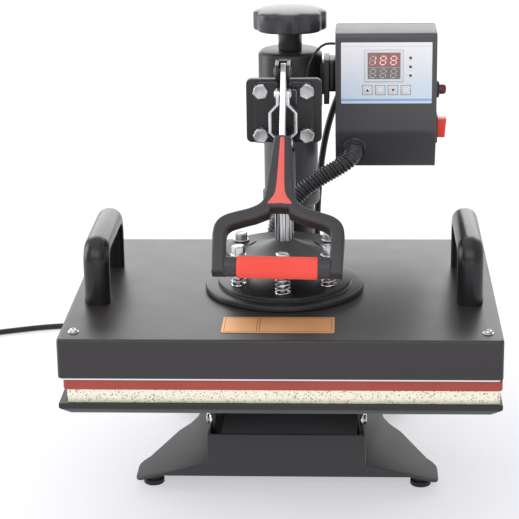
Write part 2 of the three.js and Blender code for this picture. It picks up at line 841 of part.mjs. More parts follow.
function makeKnob() {
  const profile = new THREE.Path();
  profile.moveTo(0, 0);
  profile.lineTo(hubRadius, 0);
  profile.lineTo(hubRadius, knobRimBottom);
  profile.lineTo(knobRadius - restGap, knobRimBottom);
  profile.lineTo(knobRadius, knobRimBottom + restGap);
  profile.lineTo(knobRadius, knobRimTop - restGap);
  profile.quadraticCurveTo(knobRadius - restGap, knobRimTop + knobDomeHeight / 2, knobCrownRadius * 2,
    knobTop - restGap);
  profile.quadraticCurveTo(knobCrownRadius, knobTop, 0, knobTop);
  const points = profile.getPoints(arcSegments).map((point) => [point.x, point.y]);
  const blank = turnedZ(points, 0, 0, roundSegments);
  const scallops = [];
  for (let i = 0; i < knobScallops; i += 1) {
    const angle = 2 * Math.PI * (i + 0.5) / knobScallops;
    const reach = knobRadius + scallopRadius - scallopDepth;
    scallops.push(rodZ(scallopRadius, reach * Math.cos(angle), reach * Math.sin(angle),
      knobRimBottom - overrun, knobTop, smallSegments));
  }
  return cut(blank, ...scallops);
}

add(knob, 'pressure_knob', makeKnob(), blackPlastic);
add(knob, 'pressure_screw', rodZ(screwRadius, 0, 0, -screwReach, -restGap, smallSegments), zinc);

// Toggle: everything here is placed from the fulcrum
const toggle = new THREE.Group();
toggle.position.set(0, pressY, fulcrumHeight);
press.add(toggle);

const plateFrontY = armPlateBehindPress;
const baseFrontY = plateFrontY - toggleBaseThickness;
const plateTopZ = armPlateTop - fulcrumHeight;
const plateBottomZ = armPlateBottom - fulcrumHeight;

function makeToggleBase() {
  const plate = prismY(roundedRectangle(-toggleBaseWidth / 2, toggleBaseWidth / 2,
    plateBottomZ + toggleBaseDrop, plateTopZ - toggleBaseDrop, armPlateRadius), baseFrontY, plateFrontY);
  const outer = cheekInner + cheekThickness;
  const cheek = new THREE.Shape();
  cheek.absarc(0, 0, cheekRadius, -0.75 * Math.PI, -1.5 * Math.PI, true);
  cheek.lineTo(cheekWebFront, cheekWebTop);
  cheek.lineTo(baseFrontY + overrun, cheekWebTop);
  cheek.lineTo(baseFrontY + overrun, -cheekWebDrop);
  cheek.lineTo(cheekWebFront - overrun, -cheekWebDrop);
  cheek.lineTo(cheekThroat, -cheekBottomDrop - overrun);
  cheek.lineTo(cheekThroat, -cheekBottomDrop);
  const blank = prismX(cheek, -outer, outer);
  const throat = box(-cheekInner, cheekInner, -2 * cheekWebFront, cheekWebFront, -cheekWebDrop - overrun,
    cheekRadius + overrun);
  const pinHole = rodX(pinRadius + restGap / 2, 0, 0, -2 * outer, 2 * outer, smallSegments);
  const bracket = cut(blank, throat, pinHole);
  const tabFrame = box(tabX, tabX + tabWidth, baseFrontY - tabReach, baseFrontY + overrun,
    -tabTopDrop - tabHeight, -tabTopDrop);
  const tabHollow = box(tabX - overrun, tabX + tabWidth - tabSheet,
    baseFrontY - tabReach - overrun, baseFrontY,
    -tabTopDrop - tabHeight + tabSheet, -tabTopDrop - tabSheet);
  const guideTopZ = guideTop - fulcrumHeight;
  const guide = rodZ(guideRadius, 0, 0, guideTopZ - guideLength, guideTopZ, gripSegments);
  const rib = prismX(polygon([
    [guideRibFront, guideTopZ - guideLength / 2], [guideRibFront, guideTopZ],
    [guideRibFront + overrun, guideRibTop - fulcrumHeight],
    [baseFrontY + overrun, guideRibTop - fulcrumHeight],
    [baseFrontY + overrun, plateBottomZ + toggleBaseDrop + overrun],
  ]), -guideRibHalf, guideRibHalf);
  const bore = rodZ(plungerRadius + runGap, 0, 0, guideTopZ - 2 * guideLength, guideTopZ + overrun,
    gripSegments);
  const bolts = boltPlaces.flatMap(([x, z]) => [
    turnedY(rod(boltHeadRadius, baseFrontY - boltHeadThickness, baseFrontY + restGap), x,
      z - fulcrumHeight, hexSides),
    turnedY(rod(boltShankRadius, baseFrontY, plateFrontY + armPlateThickness), x, z - fulcrumHeight,
      smallSegments),
  ]);
  return join(plate, bracket, cut(tabFrame, tabHollow), cut(join(guide, rib), bore), ...bolts);
}

add(toggle, 'toggle_base', makeToggleBase(), blackCoat);

// Riveted pins
function pinSolid(y, z, gripHalf) {
  return join(
    rodX(pinRadius, y, z, -gripHalf - restGap, gripHalf + restGap, smallSegments),
    rodX(pinHeadRadius, y, z, -gripHalf - pinHeadThickness, -gripHalf, smallSegments),
    rodX(pinHeadRadius, y, z, gripHalf, gripHalf + pinHeadThickness, smallSegments),
  );
}

add(toggle, 'fulcrum_pin', pinSolid(0, 0, cheekInner + cheekThickness + restGap), zinc);
add(toggle, 'crank_pin', pinSolid(0, -crankRadius, linkTopInner + linkThickness + restGap), zinc);

// Bent link straps with their half rivets at the plunger
function makeLink(side) {
  const top = -crankRadius + linkHalfWidth;
  const bottom = -crankRadius - linkLength - linkHalfWidth;
  const upperNeck = -crankRadius - linkUpperNeck;
  const upperBulge = upperNeck - linkUpperSlant;
  const lowerNeck = -crankRadius - linkLength + linkLowerNeck;
  const lowerBulge = lowerNeck + linkLowerSlant;
  const inner = [
    [linkTopInner, top], [linkTopInner, upperNeck], [linkBulgeInner, upperBulge],
    [linkBulgeInner, lowerBulge], [linkBottomInner, lowerNeck], [linkBottomInner, bottom],
  ];
  const outer = inner.map(([x, z]) => [x + linkThickness, z]).reverse();
  const strap = polygon([...inner, ...outer].map(([x, z]) => [side * x, z]));
  const capsule = new THREE.Shape();
  capsule.absarc(0, -crankRadius, linkHalfWidth, 0, Math.PI, false);
  capsule.absarc(0, -crankRadius - linkLength, linkHalfWidth, Math.PI, 2 * Math.PI, false);
  const reach = linkBulgeInner + 2 * linkThickness;
  const rounded = prismX(capsule, -reach, reach, 0, 2 * arcSegments);
  const bent = common(prismY(strap, -linkHalfWidth, linkHalfWidth), rounded);
  const hole = rodX(pinRadius + pinGap, 0, -crankRadius, -reach, reach, smallSegments);
  const rivetFrom = linkBottomInner + restGap;
  const rivetTo = linkBottomInner + linkThickness + pinHeadThickness;
  const [x0, x1] = [side * rivetFrom, side * rivetTo].sort((a, b) => a - b);
  const rivet = rodX(pinHeadRadius, 0, -crankRadius - linkLength, x0, x1, smallSegments);
  return join(cut(bent, hole), rivet);
}

add(toggle, 'link_left', makeLink(-1), zinc);
add(toggle, 'link_right', makeLink(1), zinc);

// Lever bar: flat steel with the fulcrum eye, the crank eye below it, and a shank for the handle
function makeLeverBar() {
  const shape = new THREE.Shape();
  const tilt = leverAngle;
  const shank = (along, off) => [
    -along * Math.sin(tilt) + off * Math.cos(tilt), -along * Math.cos(tilt) - off * Math.sin(tilt),
  ];
  const half = leverBarWidth / 2;
  shape.absarc(0, 0, leverEyeRadius, 0, Math.PI - tilt / 2, false);
  shape.lineTo(...shank(2 * leverEyeRadius, -half));
  shape.lineTo(...shank(handleStart - restGap, -half));
  shape.lineTo(...shank(handleStart - restGap, -tangHalf));
  shape.lineTo(...shank(leverBarEnd, -tangHalf));
  shape.lineTo(...shank(leverBarEnd, tangHalf));
  shape.lineTo(...shank(handleStart - restGap, tangHalf));
  shape.lineTo(...shank(handleStart - restGap, half));
  shape.lineTo(...shank(crankRadius + 2 * crankEyeRadius, half));
  shape.absarc(0, -crankRadius, crankEyeRadius, -0.6 * Math.PI, 0, false);
  const holes = [0, -crankRadius].map((z) => rodX(pinRadius + pinGap, 0, z, -2 * leverBarHalf,
    2 * leverBarHalf, smallSegments));
  return cut(prismX(shape, -leverBarHalf, leverBarHalf, 0, 2 * arcSegments), ...holes);
}

const leverBar = makeLeverBar();
add(toggle, 'lever_bar', leverBar, zinc);

// Moulded handle: drawn flat with X across and Z along the lever, then turned into place
const lever = new THREE.Group();
lever.rotation.x = -leverAngle;
toggle.add(lever);

// A place on the lever, given by how far it lies above the grip's axis along the lever
const aboveGrip = (rise) => rise - leverLength;
const neckZ = aboveGrip(handleNeckRise);
const bellyZ = -handleStart + (neckZ + handleStart) * handleBellyShare;
const crotchZ = aboveGrip(crotchRise);
const crotchSideZ = aboveGrip(crotchSideRise);

function handleOutline() {
  const right = new THREE.Path();
  right.moveTo(handleTopHalf, -handleStart);
  right.splineThru([
    [handleBellyHalf, bellyZ], [handleNeckHalf, neckZ],
    [shoulderHalf, aboveGrip(shoulderRise)], [elbowHalf, aboveGrip(elbowRise)],
    [forkHalf, aboveGrip(forkElbowRise)],
  ].map(([x, z]) => new THREE.Vector2(x, z)));
  right.lineTo(forkHalf, aboveGrip(-forkTipDrop));
  right.lineTo(forkHalf - forkArm, aboveGrip(-forkTipDrop));
  right.lineTo(forkHalf - forkArm, crotchSideZ - crotchRadius);
  right.quadraticCurveTo(forkHalf - forkArm, crotchSideZ, forkHalf - forkArm - crotchRadius,
    crotchSideZ + restGap);
  right.lineTo(crotchRadius, crotchZ);
  right.lineTo(0, crotchZ + restGap);
  const points = right.getPoints(arcSegments);
  const left = points.slice(0, -1).reverse().map((point) => new THREE.Vector2(-point.x, point.y));
  return new THREE.Shape([...points, ...left]);
}

function inlayOutline(gap) {
  const right = [
    [inlayTopHalf - gap, -handleStart - inlayTopDrop - gap], [inlayMidHalf - gap, neckZ],
    [inlayMidHalf + (inlayFootHalf - inlayMidHalf) / 3 - gap, neckZ - inlayFlareDrop],
    [inlayFootHalf - gap, neckZ - inlayFootDrop + gap],
  ];
  return polygon([...right, ...right.map(([x, z]) => [-x, z]).reverse()]);
}

const handleHalf = handleThickness / 2;
const gripAxisZ = -leverLength;

function makeHandle() {
  const blank = prismY(handleOutline(), -handleHalf, handleHalf, handleBevel);
  const pocket = prismY(inlayOutline(0), -handleHalf - overrun, -handleHalf + inlayDepth);
  const slotHalf = tangHalf + restGap;
  const barSlot = box(-leverBarHalf - restGap, leverBarHalf + restGap, -slotHalf, slotHalf,
    -leverBarEnd - restGap, -handleStart + overrun);
  return cut(blank, pocket, barSlot);
}

add(lever, 'lever_handle', makeHandle(), blackPlastic);
add(lever, 'handle_inlay', prismY(inlayOutline(restGap), -handleHalf - inlayProud,
  -handleHalf + inlayDepth - restGap), redRubber);

const forkInside = forkHalf - forkArm;
const gripCoreHalf = forkInside - restGap;
const gripHalf = gripLength / 2;
const gripCore = turnedX([
  [0, -gripCoreHalf], [gripEndRadius, -gripCoreHalf], [gripEndRadius, -gripHalf - restGap],
  [gripCoreRadius, -gripHalf - restGap], [gripCoreRadius, gripHalf + restGap],
  [gripEndRadius, gripHalf + restGap], [gripEndRadius, gripCoreHalf], [0, gripCoreHalf],
], 0, gripAxisZ, gripSegments);
add(lever, 'grip_core', gripCore, blackPlastic);

function makeGrip() {
  const bore = gripCoreRadius + restGap;
  return turnedX([
    [bore, -gripHalf], [gripRadius - gripEdge, -gripHalf], [gripRadius, -gripHalf + gripEdge],
    [gripRadius, gripHalf - gripEdge], [gripRadius - gripEdge, gripHalf],
    [bore, gripHalf], [bore, -gripHalf],
  ], 0, gripAxisZ, gripSegments);
}

add(lever, 'grip_sleeve', makeGrip(), redRubber);

// Plate stack on the cover, placed from the press axis and the cover's top
const stack = new THREE.Group();
stack.position.set(0, pressY, coverTop);
press.add(stack);

const discTop = discThickness + raisedDiscThickness;
const pressPlateBottom = discTop + springHeight;
const pressPlateTop = pressPlateBottom + pressPlateThickness;
const boltAngles = [];
for (let i = 0; i < boltCount; i += 1) boltAngles.push(2 * Math.PI * (i / boltCount + boltStartShare));
const onBoltCircle = (angle) => [boltCircleRadius * Math.cos(angle), boltCircleRadius * Math.sin(angle)];

function makeDisc() {
  const discs = turnedZ([
    [0, 0], [discRadius - restGap, 0], [discRadius, restGap], [discRadius, discThickness - discEdge],
    [discRadius - discEdge, discThickness], [raisedDiscRadius, discThickness],
    [raisedDiscRadius, discTop - raisedDiscEdge], [raisedDiscRadius - raisedDiscEdge, discTop],
    [0, discTop],
  ], 0, 0, discSegments);
  const bolts = boltAngles.flatMap((angle) => {
    const [x, y] = onBoltCircle(angle);
    const seat = pressPlateTop + restGap;
    return [
      rodZ(springBoltRadius, x, y, discTop - restGap, seat + washerThickness, smallSegments),
      rodZ(washerRadius, x, y, seat, seat + washerThickness, smallSegments),
      rodZ(springBoltHeadRadius, x, y, seat + washerThickness - restGap,
        seat + washerThickness + springBoltHeadHeight, 6),
    ];
  });
  return join(discs, ...bolts);
}

add(stack, 'pressure_disc', makeDisc(), greyCoat);

function makePressPlate() {
  const dish = turnedZ([
    [0, pressPlateBottom], [pressPlateRadius, pressPlateBottom], [pressPlateRadius, pressPlateTop],
    [pressPlateFlat, pressPlateTop], [bossRadius, pressPlateTop + pressPlateRise],
    [0, pressPlateTop + pressPlateRise],
  ], 0, 0, discSegments);
  const holes = boltAngles.map((angle) => {
    const [x, y] = onBoltCircle(angle);
    return rodZ(springBoltHole, x, y, pressPlateBottom - overrun, pressPlateTop + overrun, smallSegments);
  });
  const slots = [0.25, 0.75].map((share) => {
    const slot = roundedRectangle(slotRadius - slotWidth / 2, slotRadius + slotWidth / 2, -slotLength / 2,
      slotLength / 2, slotWidth / 2 - weldTolerance);
    const geometry = extruded(slot, 4 * pressPlateThickness, 0, 2);
    const turnBy = Math.PI * (1 / 12 + share * 5 / 3 - 1 / 4);
    return solid(geometry.translate(0, 0, pressPlateBottom - overrun).rotateZ(turnBy));
  });
  return cut(dish, ...holes, ...slots);
}

add(stack, 'pressure_plate', makePressPlate(), greyCoat);

// Springs round the bolts: straight ends, then even curls
const springSteps = 8;
function springPoints() {
  const points = [];
  const wire = 2 * springWireRadius;
  const bottom = discTop + restGap;
  const top = pressPlateBottom - restGap;
  const count = springCurls * springSteps;
  points.push(new THREE.Vector3(springMeanRadius, 0, bottom));
  for (let i = 0; i <= count; i += 1) {
    const angle = 2 * Math.PI * i / springSteps;
    const height = bottom + wire + (top - bottom - 2 * wire) * i / count;
    const [u, v] = [springMeanRadius * Math.cos(angle), springMeanRadius * Math.sin(angle)];
    points.push(new THREE.Vector3(u, v, height));
  }
  points.push(new THREE.Vector3(springMeanRadius, 0, top));
  return points;
}

const springLine = springPoints();
const springGap = leastGap(springLine, springWireRadius, springSteps - 2);
console.log('spring: least gap to itself', springGap.toFixed(2));
boltAngles.forEach((angle, i) => {
  const [x, y] = onBoltCircle(angle);
  const wound = solid(woundTube(springLine, springWireRadius, springSides, xAxis));
  const spring = add(stack, `spring_${i + 1}`, wound, zinc);
  spring.position.set(x, y, 0);
});

// Plunger: a round rod in the guide with a flat tongue between the links
const plungerFoot = pressPlateTop + pressPlateRise;
const plungerPinZ = fulcrumHeight - crankRadius - linkLength - coverTop;

function makePlunger() {
  const shoulder = plungerShoulder - coverTop;
  const shaft = rodZ(plungerRadius, 0, 0, plungerFoot, shoulder, gripSegments);
  const tongueTop = plungerPinZ + tongueTopAbovePin;
  const tongue = box(-tongueHalfThickness, tongueHalfThickness, -tongueHalfWidth, tongueHalfWidth,
    shoulder - overrun, tongueTop);
  const eye = rodX(pinRadius + pinGap, 0, plungerPinZ, -2 * tongueHalfThickness, 2 * tongueHalfThickness,
    smallSegments);
  return cut(join(shaft, tongue), eye);
}

add(stack, 'plunger', makePlunger(), zinc);

// Heater: cover, insulation and heating plate
const halfCover = coverWidth / 2;
const coverBack = coverFront + coverDepth;
function makeCover() {
  const outline = roundedRectangle(-halfCover, halfCover, coverFront, coverBack, coverCornerRadius);
  const blank = prismZ(outline, coverBottom - 2 * coverEdgeRadius, coverTop, coverEdgeRadius);
  const below = box(-coverWidth, coverWidth, coverFront - overrun, coverBack + overrun,
    coverBottom - 4 * coverEdgeRadius, coverBottom);
  const inside = roundedRectangle(-halfCover + sheetWall, halfCover - sheetWall, coverFront + sheetWall,
    coverBack - sheetWall, coverCornerRadius - sheetWall);
  return cut(blank, below, prismZ(inside, coverBottom - overrun, coverTop - sheetWall));
}

add(press, 'heater_cover', makeCover(), blackCoat);

const heaterOutline = (inset) => roundedRectangle(-halfCover + inset, halfCover - inset, coverFront + inset,
  coverBack - inset, coverCornerRadius - sheetWall);
const insulationShape = heaterOutline(heatPlateInset + restGap);
add(press, 'insulation', prismZ(insulationShape, heatPlateTop, coverTop - sheetWall),
  finish(0xd9d3c4, 0.95, 0));
add(press, 'heating_plate', prismZ(heaterOutline(heatPlateInset), heatPlateBottom, heatPlateTop),
  finish(0xe4e4e2, 0.35, 0.8));

// Side handles: arches in the YZ plane, rounded all along, cut flat where they stand on the cover
function makeSideHandle() {
  const y1 = sideHandleLength;
  const z1 = sideHandleHeight;
  const sunk = -2 * sideHandleRound;
  const arch = new THREE.Shape();
  arch.moveTo(0, sunk);
  arch.lineTo(0, z1 - sideHandleBend);
  arch.absarc(sideHandleBend, z1 - sideHandleBend, sideHandleBend, Math.PI, Math.PI / 2, true);
  arch.absarc(y1 - sideHandleBend, z1 - sideHandleBend, sideHandleBend, Math.PI / 2, 0, true);
  arch.lineTo(y1, sunk);
  arch.lineTo(y1 - sideHandleLeg, sunk);
  const innerTop = z1 - sideHandleBar - sideHandleInnerBend;
  const nearBend = sideHandleLeg + sideHandleInnerBend;
  arch.absarc(y1 - nearBend, innerTop, sideHandleInnerBend, 0, Math.PI / 2, false);
  arch.absarc(nearBend, innerTop, sideHandleInnerBend, Math.PI / 2, Math.PI, false);
  arch.lineTo(sideHandleLeg, sunk);
  const half = sideHandleWidth / 2;
  const blank = prismX(arch, -half, half, sideHandleRound, arcSegments);
  return cut(blank, box(-sideHandleWidth, sideHandleWidth, -overrun, y1 + overrun, 2 * sunk, 0));
}

const sideHandle = makeSideHandle();
for (const [name, side] of [['side_handle_left', -1], ['side_handle_right', 1]]) {
  const mesh = add(press, name, sideHandle, blackPlastic);
  const across = side * (coverWidth / 2 - sideHandleInset);
  mesh.position.set(across, fromCoverFront(sideHandleFrontInset), coverTop);
}

// Control box
const boxRight = boxLeft + boxWidth;
const boxFront = fromCoverFront(boxFrontToCover);
const boxBack = boxFront + boxDepth;
const boxBottom = boxTop - boxHeight;
const caseBack = boxBack - backCoverThickness;
const boxBend = boxTop - boxFaceHeight;
const keyHeight = boxTop - keyDrop;
const rockerHeight = boxTop - rockerDrop;
const lampHeight = boxTop - lampDrop;
const rockerY = boxFront + rockerToFront;
const lampY = boxFront + lampToFront;
const keyX = (i) => keyCentreX + (i - (keyCount - 1) / 2) * keyPitch;

function boxProfile(back) {
  return polygon([
    [boxFront + boxSlopeRun, boxBottom], [back, boxBottom], [back, boxTop - boxEdge],
    [back, boxTop], [boxFront + boxEdge, boxTop], [boxFront, boxTop - boxEdge], [boxFront, boxBend],
  ]);
}

function makeBoxCase() {
  const blank = prismX(boxProfile(caseBack), boxLeft, boxRight);
  const inside = polygon([
    [boxFront + boxSlopeRun + boxSlopeWall, boxBottom + boxWall], [boxBack, boxBottom + boxWall],
    [boxBack, boxTop - boxWall], [boxFront + boxWall, boxTop - boxWall], [boxFront + boxWall, boxBend],
  ]);
  const hollow = prismX(inside, boxLeft + boxWall, boxRight - boxWall);
  const holes = [];
  for (let i = 0; i < keyCount; i += 1) {
    const half = keySize / 2 + restGap;
    holes.push(box(keyX(i) - half, keyX(i) + half, boxFront - overrun, boxFront + keyThickness,
      keyHeight - half, keyHeight + half));
  }
  const bezel = box(boxRight - restGap, boxRight + bezelProud, rockerY - bezelHalfWidth,
    rockerY + bezelHalfWidth, rockerHeight - bezelHalfHeight, rockerHeight + bezelHalfHeight);
  const holeHalf = rockerHalfHeight + rockerHoleGap;
  const rockerHole = box(boxRight - keyThickness, boxRight + rockerProud,
    rockerY - rockerHalfWidth - runGap, rockerY + rockerHalfWidth + runGap,
    rockerHeight - holeHalf, rockerHeight + holeHalf);
  return cut(join(cut(blank, hollow), bezel), rockerHole, ...holes);
}

add(press, 'control_case', makeBoxCase(), greyCoat);

const backCoverShape = roundedRectangle(boxLeft, boxRight, boxBottom, boxTop, boxEdge);
add(press, 'control_back', prismY(backCoverShape, caseBack, boxBack), greyCoat);

for (let i = 0; i < keyCount; i += 1) {
  const half = keySize / 2;
  const x = keyX(i);
  const shape = roundedRectangle(x - half, x + half, keyHeight - half, keyHeight + half, keyProud);
  add(press, `key_${i + 1}`, prismY(shape, boxFront - keyProud, boxFront - keyProud + keyThickness),
    finish(0xf2f4f7, 0.5, 0));
}

// Rocker switch on the right side, at rest with its lower half pressed in
const rockerPivotX = boxRight - rockerPivotDepth;
const rocker = polygon([
  [-rockerTail, -rockerHalfHeight / 2], [rockerPivotDepth, -rockerHalfHeight],
  [rockerProud - rockerTilt, -rockerHalfHeight], [rockerProud - rockerTilt, 0],
  [rockerProud + rockerTilt / 2, rockerHalfHeight - rockerTilt / 2], [rockerPivotDepth, rockerHalfHeight],
  [-rockerTail, rockerHalfHeight / 2],
].map(([x, z]) => [rockerPivotX + x, rockerHeight + z]));
add(press, 'power_rocker', prismY(rocker, rockerY - rockerHalfWidth, rockerY + rockerHalfWidth),
  finish(0xe4372c, 0.35, 0));

add(press, 'pilot_lamp', turnedX([
  [0, boxRight], [lampFlangeRadius, boxRight], [lampFlangeRadius, boxRight + lampFlangeProud],
  [lampRadius, boxRight + lampFlangeProud], [lampRadius, boxRight + lampProud - lampRadius / 2],
  [lampShoulderRadius, boxRight + lampProud - lampRadius / 5], [lampTipRadius, boxRight + lampProud],
  [0, boxRight + lampProud],
], lampY, lampHeight, smallSegments), finish(0x6e1616, 0.25, 0));

// Bracket from the column head to the box
function makeBoxBracket() {
  const y0 = fromCoverFront(bracketPlateFront);
  const y1 = y0 + bracketPlateDepth;
  const plateTop = headTopHeight - bracketPlateDrop;
  const plateBottom = plateTop - bracketPlateHeight;
  const thinTop = headTopHeight - bracketThinDrop;
  const thick = box(bracketPlateLeft, bracketPlateLeft + bracketPlateWidth, y0, y1, plateBottom, plateTop);
  const thin = box(bracketThinLeft, bracketThinLeft + bracketThinWidth, y0, y1,
    thinTop - bracketThinHeight, thinTop);
  const middle = (y0 + y1) / 2;
  const bossFrom = bracketPlateLeft + bracketPlateWidth / 2;
  const bosses = [bracketBossLowerDrop, bracketBossUpperDrop].map((drop) => rodX(bracketBossRadius, middle,
    headTopHeight - drop, bossFrom, boxLeft - restGap, smallSegments));
  const blockMiddle = (plateTop + plateBottom) / 2;
  const block = box(sleeveRadius / 2, bracketPlateLeft + restGap, columnY - bracketBlockHalfDepth,
    columnY + bracketBlockHalfDepth, blockMiddle - bracketBlockHalfHeight,
    blockMiddle + bracketBlockHalfHeight);
  const headClear = rodZ(headRadius + restGap, 0, columnY, headBottomHeight - overrun,
    headTopHeight + overrun, roundSegments);
  return cut(join(thick, thin, block, ...bosses), headClear);
}

add(press, 'box_bracket', makeBoxBracket(), greyCoat);

// Conduit cuff on the sloping face, and the ribbed hose
const slopeNormal = new THREE.Vector3(0, -(boxBend - boxBottom), -boxSlopeRun).normalize();
const cuffCentre = routed(conduitCuffAt);
cuffCentre.y = boxFront + boxSlopeRun * (boxBend - cuffCentre.z) / (boxBend - boxBottom);

function alongDirection(geometry, direction, origin) {
  const turn = new THREE.Quaternion().setFromUnitVectors(zAxis, direction);
  return solid(geometry.applyQuaternion(turn).translate(origin.x, origin.y, origin.z));
}

const cuffProfile = [
  [conduitRadius + restGap, restGap], [cuffRadius + cuffRim, restGap], [cuffRadius + cuffRim, 2 * cuffRim],
  [cuffRadius, 2 * cuffRim], [cuffRadius - cuffRim / 2, cuffLength], [conduitRadius + restGap, cuffLength],
  [conduitRadius + restGap, restGap],
];
const cuff = alongDirection(turned(cuffProfile, gripSegments), slopeNormal, cuffCentre);
add(press, 'conduit_cuff', cuff, blackPlastic);

// Route of the conduit after it leaves the box
const conduitRoute = [
  [66.5, 291, 85.5], [58.5, 284.5, 81.5], [48, 282.5, 77.5], [38.5, 281.5, 73], [29, 280.5, 67.5],
  [20, 279, 61.5], [11, 277, 54.5], [2.5, 274, 46.5], [-5, 270.5, 37.5], [-10.5, 267, 27.5],
  [-13, 265, 17.5], [-13.5, 264.5, 9], [-13.5, 264.5, restGap],
];

function makeConduit() {
  const start = cuffCentre.clone().addScaledVector(slopeNormal, restGap);
  const second = cuffCentre.clone().addScaledVector(slopeNormal, conduitRadius);
  const third = cuffCentre.clone().addScaledVector(slopeNormal, 2 * conduitRadius);
  const route = [start, second, third, ...conduitRoute.map(routed)];
  const path = new THREE.CatmullRomCurve3(route, false, 'centripetal');
  const stations = 2 * conduitRibs + 2;
  const points = path.getSpacedPoints(stations);
  const frames = framesAlong(points, xAxis);
  const straight = Math.ceil(2 * conduitRadius / (path.getLength() / stations));
  const outer = points.map((point, i) => {
    const plain = i < straight || i > stations - straight;
    const radius = plain || i % 2 === 0 ? conduitRadius : conduitRootRadius;
    return ringAt(point, frames[i], radius, conduitSides);
  });
  const inner = [];
  for (let i = points.length - 1; i > 0; i -= 2 * ribsPerBoreRing) {
    inner.push(ringAt(points[i], frames[i], conduitBoreRadius, conduitSides));
  }
  inner.push(ringAt(points[0], frames[0], conduitBoreRadius, conduitSides));
  return solid(skin([...outer, ...inner], true));
}

add(press, 'heater_conduit', makeConduit(), blackPlastic);

// Limit switch behind the arm plate, and its lead from the box
const switchFront = armPlateFront + armPlateThickness;
add(press, 'limit_switch', box(switchX - switchWidth / 2, switchX + switchWidth / 2, switchFront,
  switchFront + switchDepth, switchAt - switchHeight / 2, switchAt + switchHeight / 2), blackPlastic);

const leadRoute = [
  [boxLeft - restGap, 322, 196.6], [41, 322, 196.7], [36.1, 321, 196.2], [32.3, 320.5, 194.3],
  [29.1, 320, 191.2], [26.2, 320, 187.6], [23.7, 319.5, 183.4], [21.2, 318, 178.6],
  [19.4, 315, 173.6], [18.6, 308, 168.4], [18.6, 298, 163.4], [18.8, 284, 158.6],
  [19.2, 266, 155.4], [19.8, 246, 154.6], [20.4, 226, 156.2], [20.8, 208, 160.2],
  [21, 196, 164.2], [21, 186.4, 165.6],
].map(routed);
add(press, 'switch_lead', cordSolid(leadRoute, leadRadius, leadSides, 5), blackPlastic);

// Mains cord: strain relief, the stretch on the arm, the stretch on the table, the coil and the plug
const cordExit = [60, 362, 146];
const reliefProfile = [
  [0, restGap], [reliefRadius, restGap], [reliefRadius, reliefRimLength],
  [reliefRadius - reliefStep, reliefRimLength + reliefStep],
  [reliefTipRadius, reliefLength], [0, reliefLength],
];
const exitPoint = routed(cordExit);
const relief = alongDirection(turned(reliefProfile, smallSegments), yAxis, exitPoint);
add(press, 'cord_relief', relief, blackPlastic);

const upperRoute = [
  [60, 388.3, 146], [60, 395.2, 145.9], [59.3, 402.5, 144.2], [57.5, 408.6, 140.2], [54.6, 412.6, 134.4],
  [51, 414.2, 127.6], [47.2, 413.8, 119.8], [43.6, 412.8, 110.4], [40.2, 411.6, 99.8], [37, 410.4, 88],
  [34, 409.2, 74.4], [31.4, 408.2, 58.6], [29.2, 407.4, 40.6], [27.4, 406.8, 20.8], [26.2, 406.4, 0.6],
  [25.6, 406.2, -17.6], [25.4, 406.2, -35.7],
].map(routed);
const lowerRoute = [
  [25.4, 406.2, -36], [25.4, 406.8, -52], [25.2, 408.8, -70], [24.8, 412.6, -88], [23.8, 418.4, -106],
  [22, 426.6, -123], [19, 437.2, -139.6], [14.4, 449.8, -155], [8, 463.6, -168.4], [-0.4, 477.8, -179.4],
  [-11.4, 492, -187.8], [-25, 506, -193.8], [-41.6, 519.6, -197.8], [-61, 532.8, -199.9],
  [-84, 546, -200.6], [-110, 558.8, -200.6], [-138, 570.4, -200.6], [-167, 580.4, -200.6],
  [-197, 588.2, -200.6], [-227, 593, -200.6], [-258, 594.2, -200.6], [-288.5, 591.6, -200.6],
  [-311, 586.4, -200.6], [-334, 578.6, -200.6], [-357, 569.8, -200.6], [-380, 560.8, -200.6],
  [-403, 551.8, -200.6],
].map(routed);

add(press, 'mains_cord_upper', cordSolid(upperRoute, cordRadius, cordSides, 4), blackPlastic);
add(press, 'mains_cord_lower', cordSolid(lowerRoute, cordRadius, cordSides, 5), blackPlastic);

// The coil winds in on the table, climbs a layer while it reverses, and winds out on top
const lowerEnd = lowerRoute[lowerRoute.length - 1];
const heading = lowerEnd.clone().sub(lowerRoute[lowerRoute.length - 2]).setZ(0).normalize();
const coilOuter = coilMeanRadius + coilPitch * coilTurns / 4;

function coilPoints() {
  const straight = 2 * cordRadius;
  const start = lowerEnd.clone().addScaledVector(heading, restGap);
  const join0 = start.clone().addScaledVector(heading, straight);
  const toCentre = new THREE.Vector3(heading.y, -heading.x, 0);
  const centre = join0.clone().addScaledVector(toCentre, coilOuter);
  const firstAngle = Math.atan2(-toCentre.y, -toCentre.x);
  const steps = coilTurns * coilStepsPerTurn;
  const half = steps / 2;
  const climb = coilStepsPerTurn / 4;
  const points = [start];
  for (let i = 0; i <= steps; i += 1) {
    const fromReverse = Math.min(Math.abs(i - half) / half, 1);
    const radius = coilOuter - coilPitch * (coilTurns / 2) * (1 - fromReverse);
    const angle = firstAngle - 2 * Math.PI * i / coilStepsPerTurn;
    const climbed = THREE.MathUtils.clamp((i - half + climb) / (2 * climb), 0, 1);
    points.push(new THREE.Vector3(centre.x + radius * Math.cos(angle), centre.y + radius * Math.sin(angle),
      lowerEnd.z + coilPitch * climbed));
  }
  const last = points[points.length - 1];
  const way = last.clone().sub(points[points.length - 2]).setZ(0).normalize();
  points.push(last.clone().addScaledVector(way, plugLead));
  return { points, way };
}

const { points: coilLine, way: plugWay } = coilPoints();
console.log('coil: least gap to itself', leastGap(coilLine, cordRadius, coilStepsPerTurn / 2).toFixed(2));
add(press, 'mains_coil', solid(woundTube(coilLine, cordRadius, coilSides, zAxis)), blackPlastic);

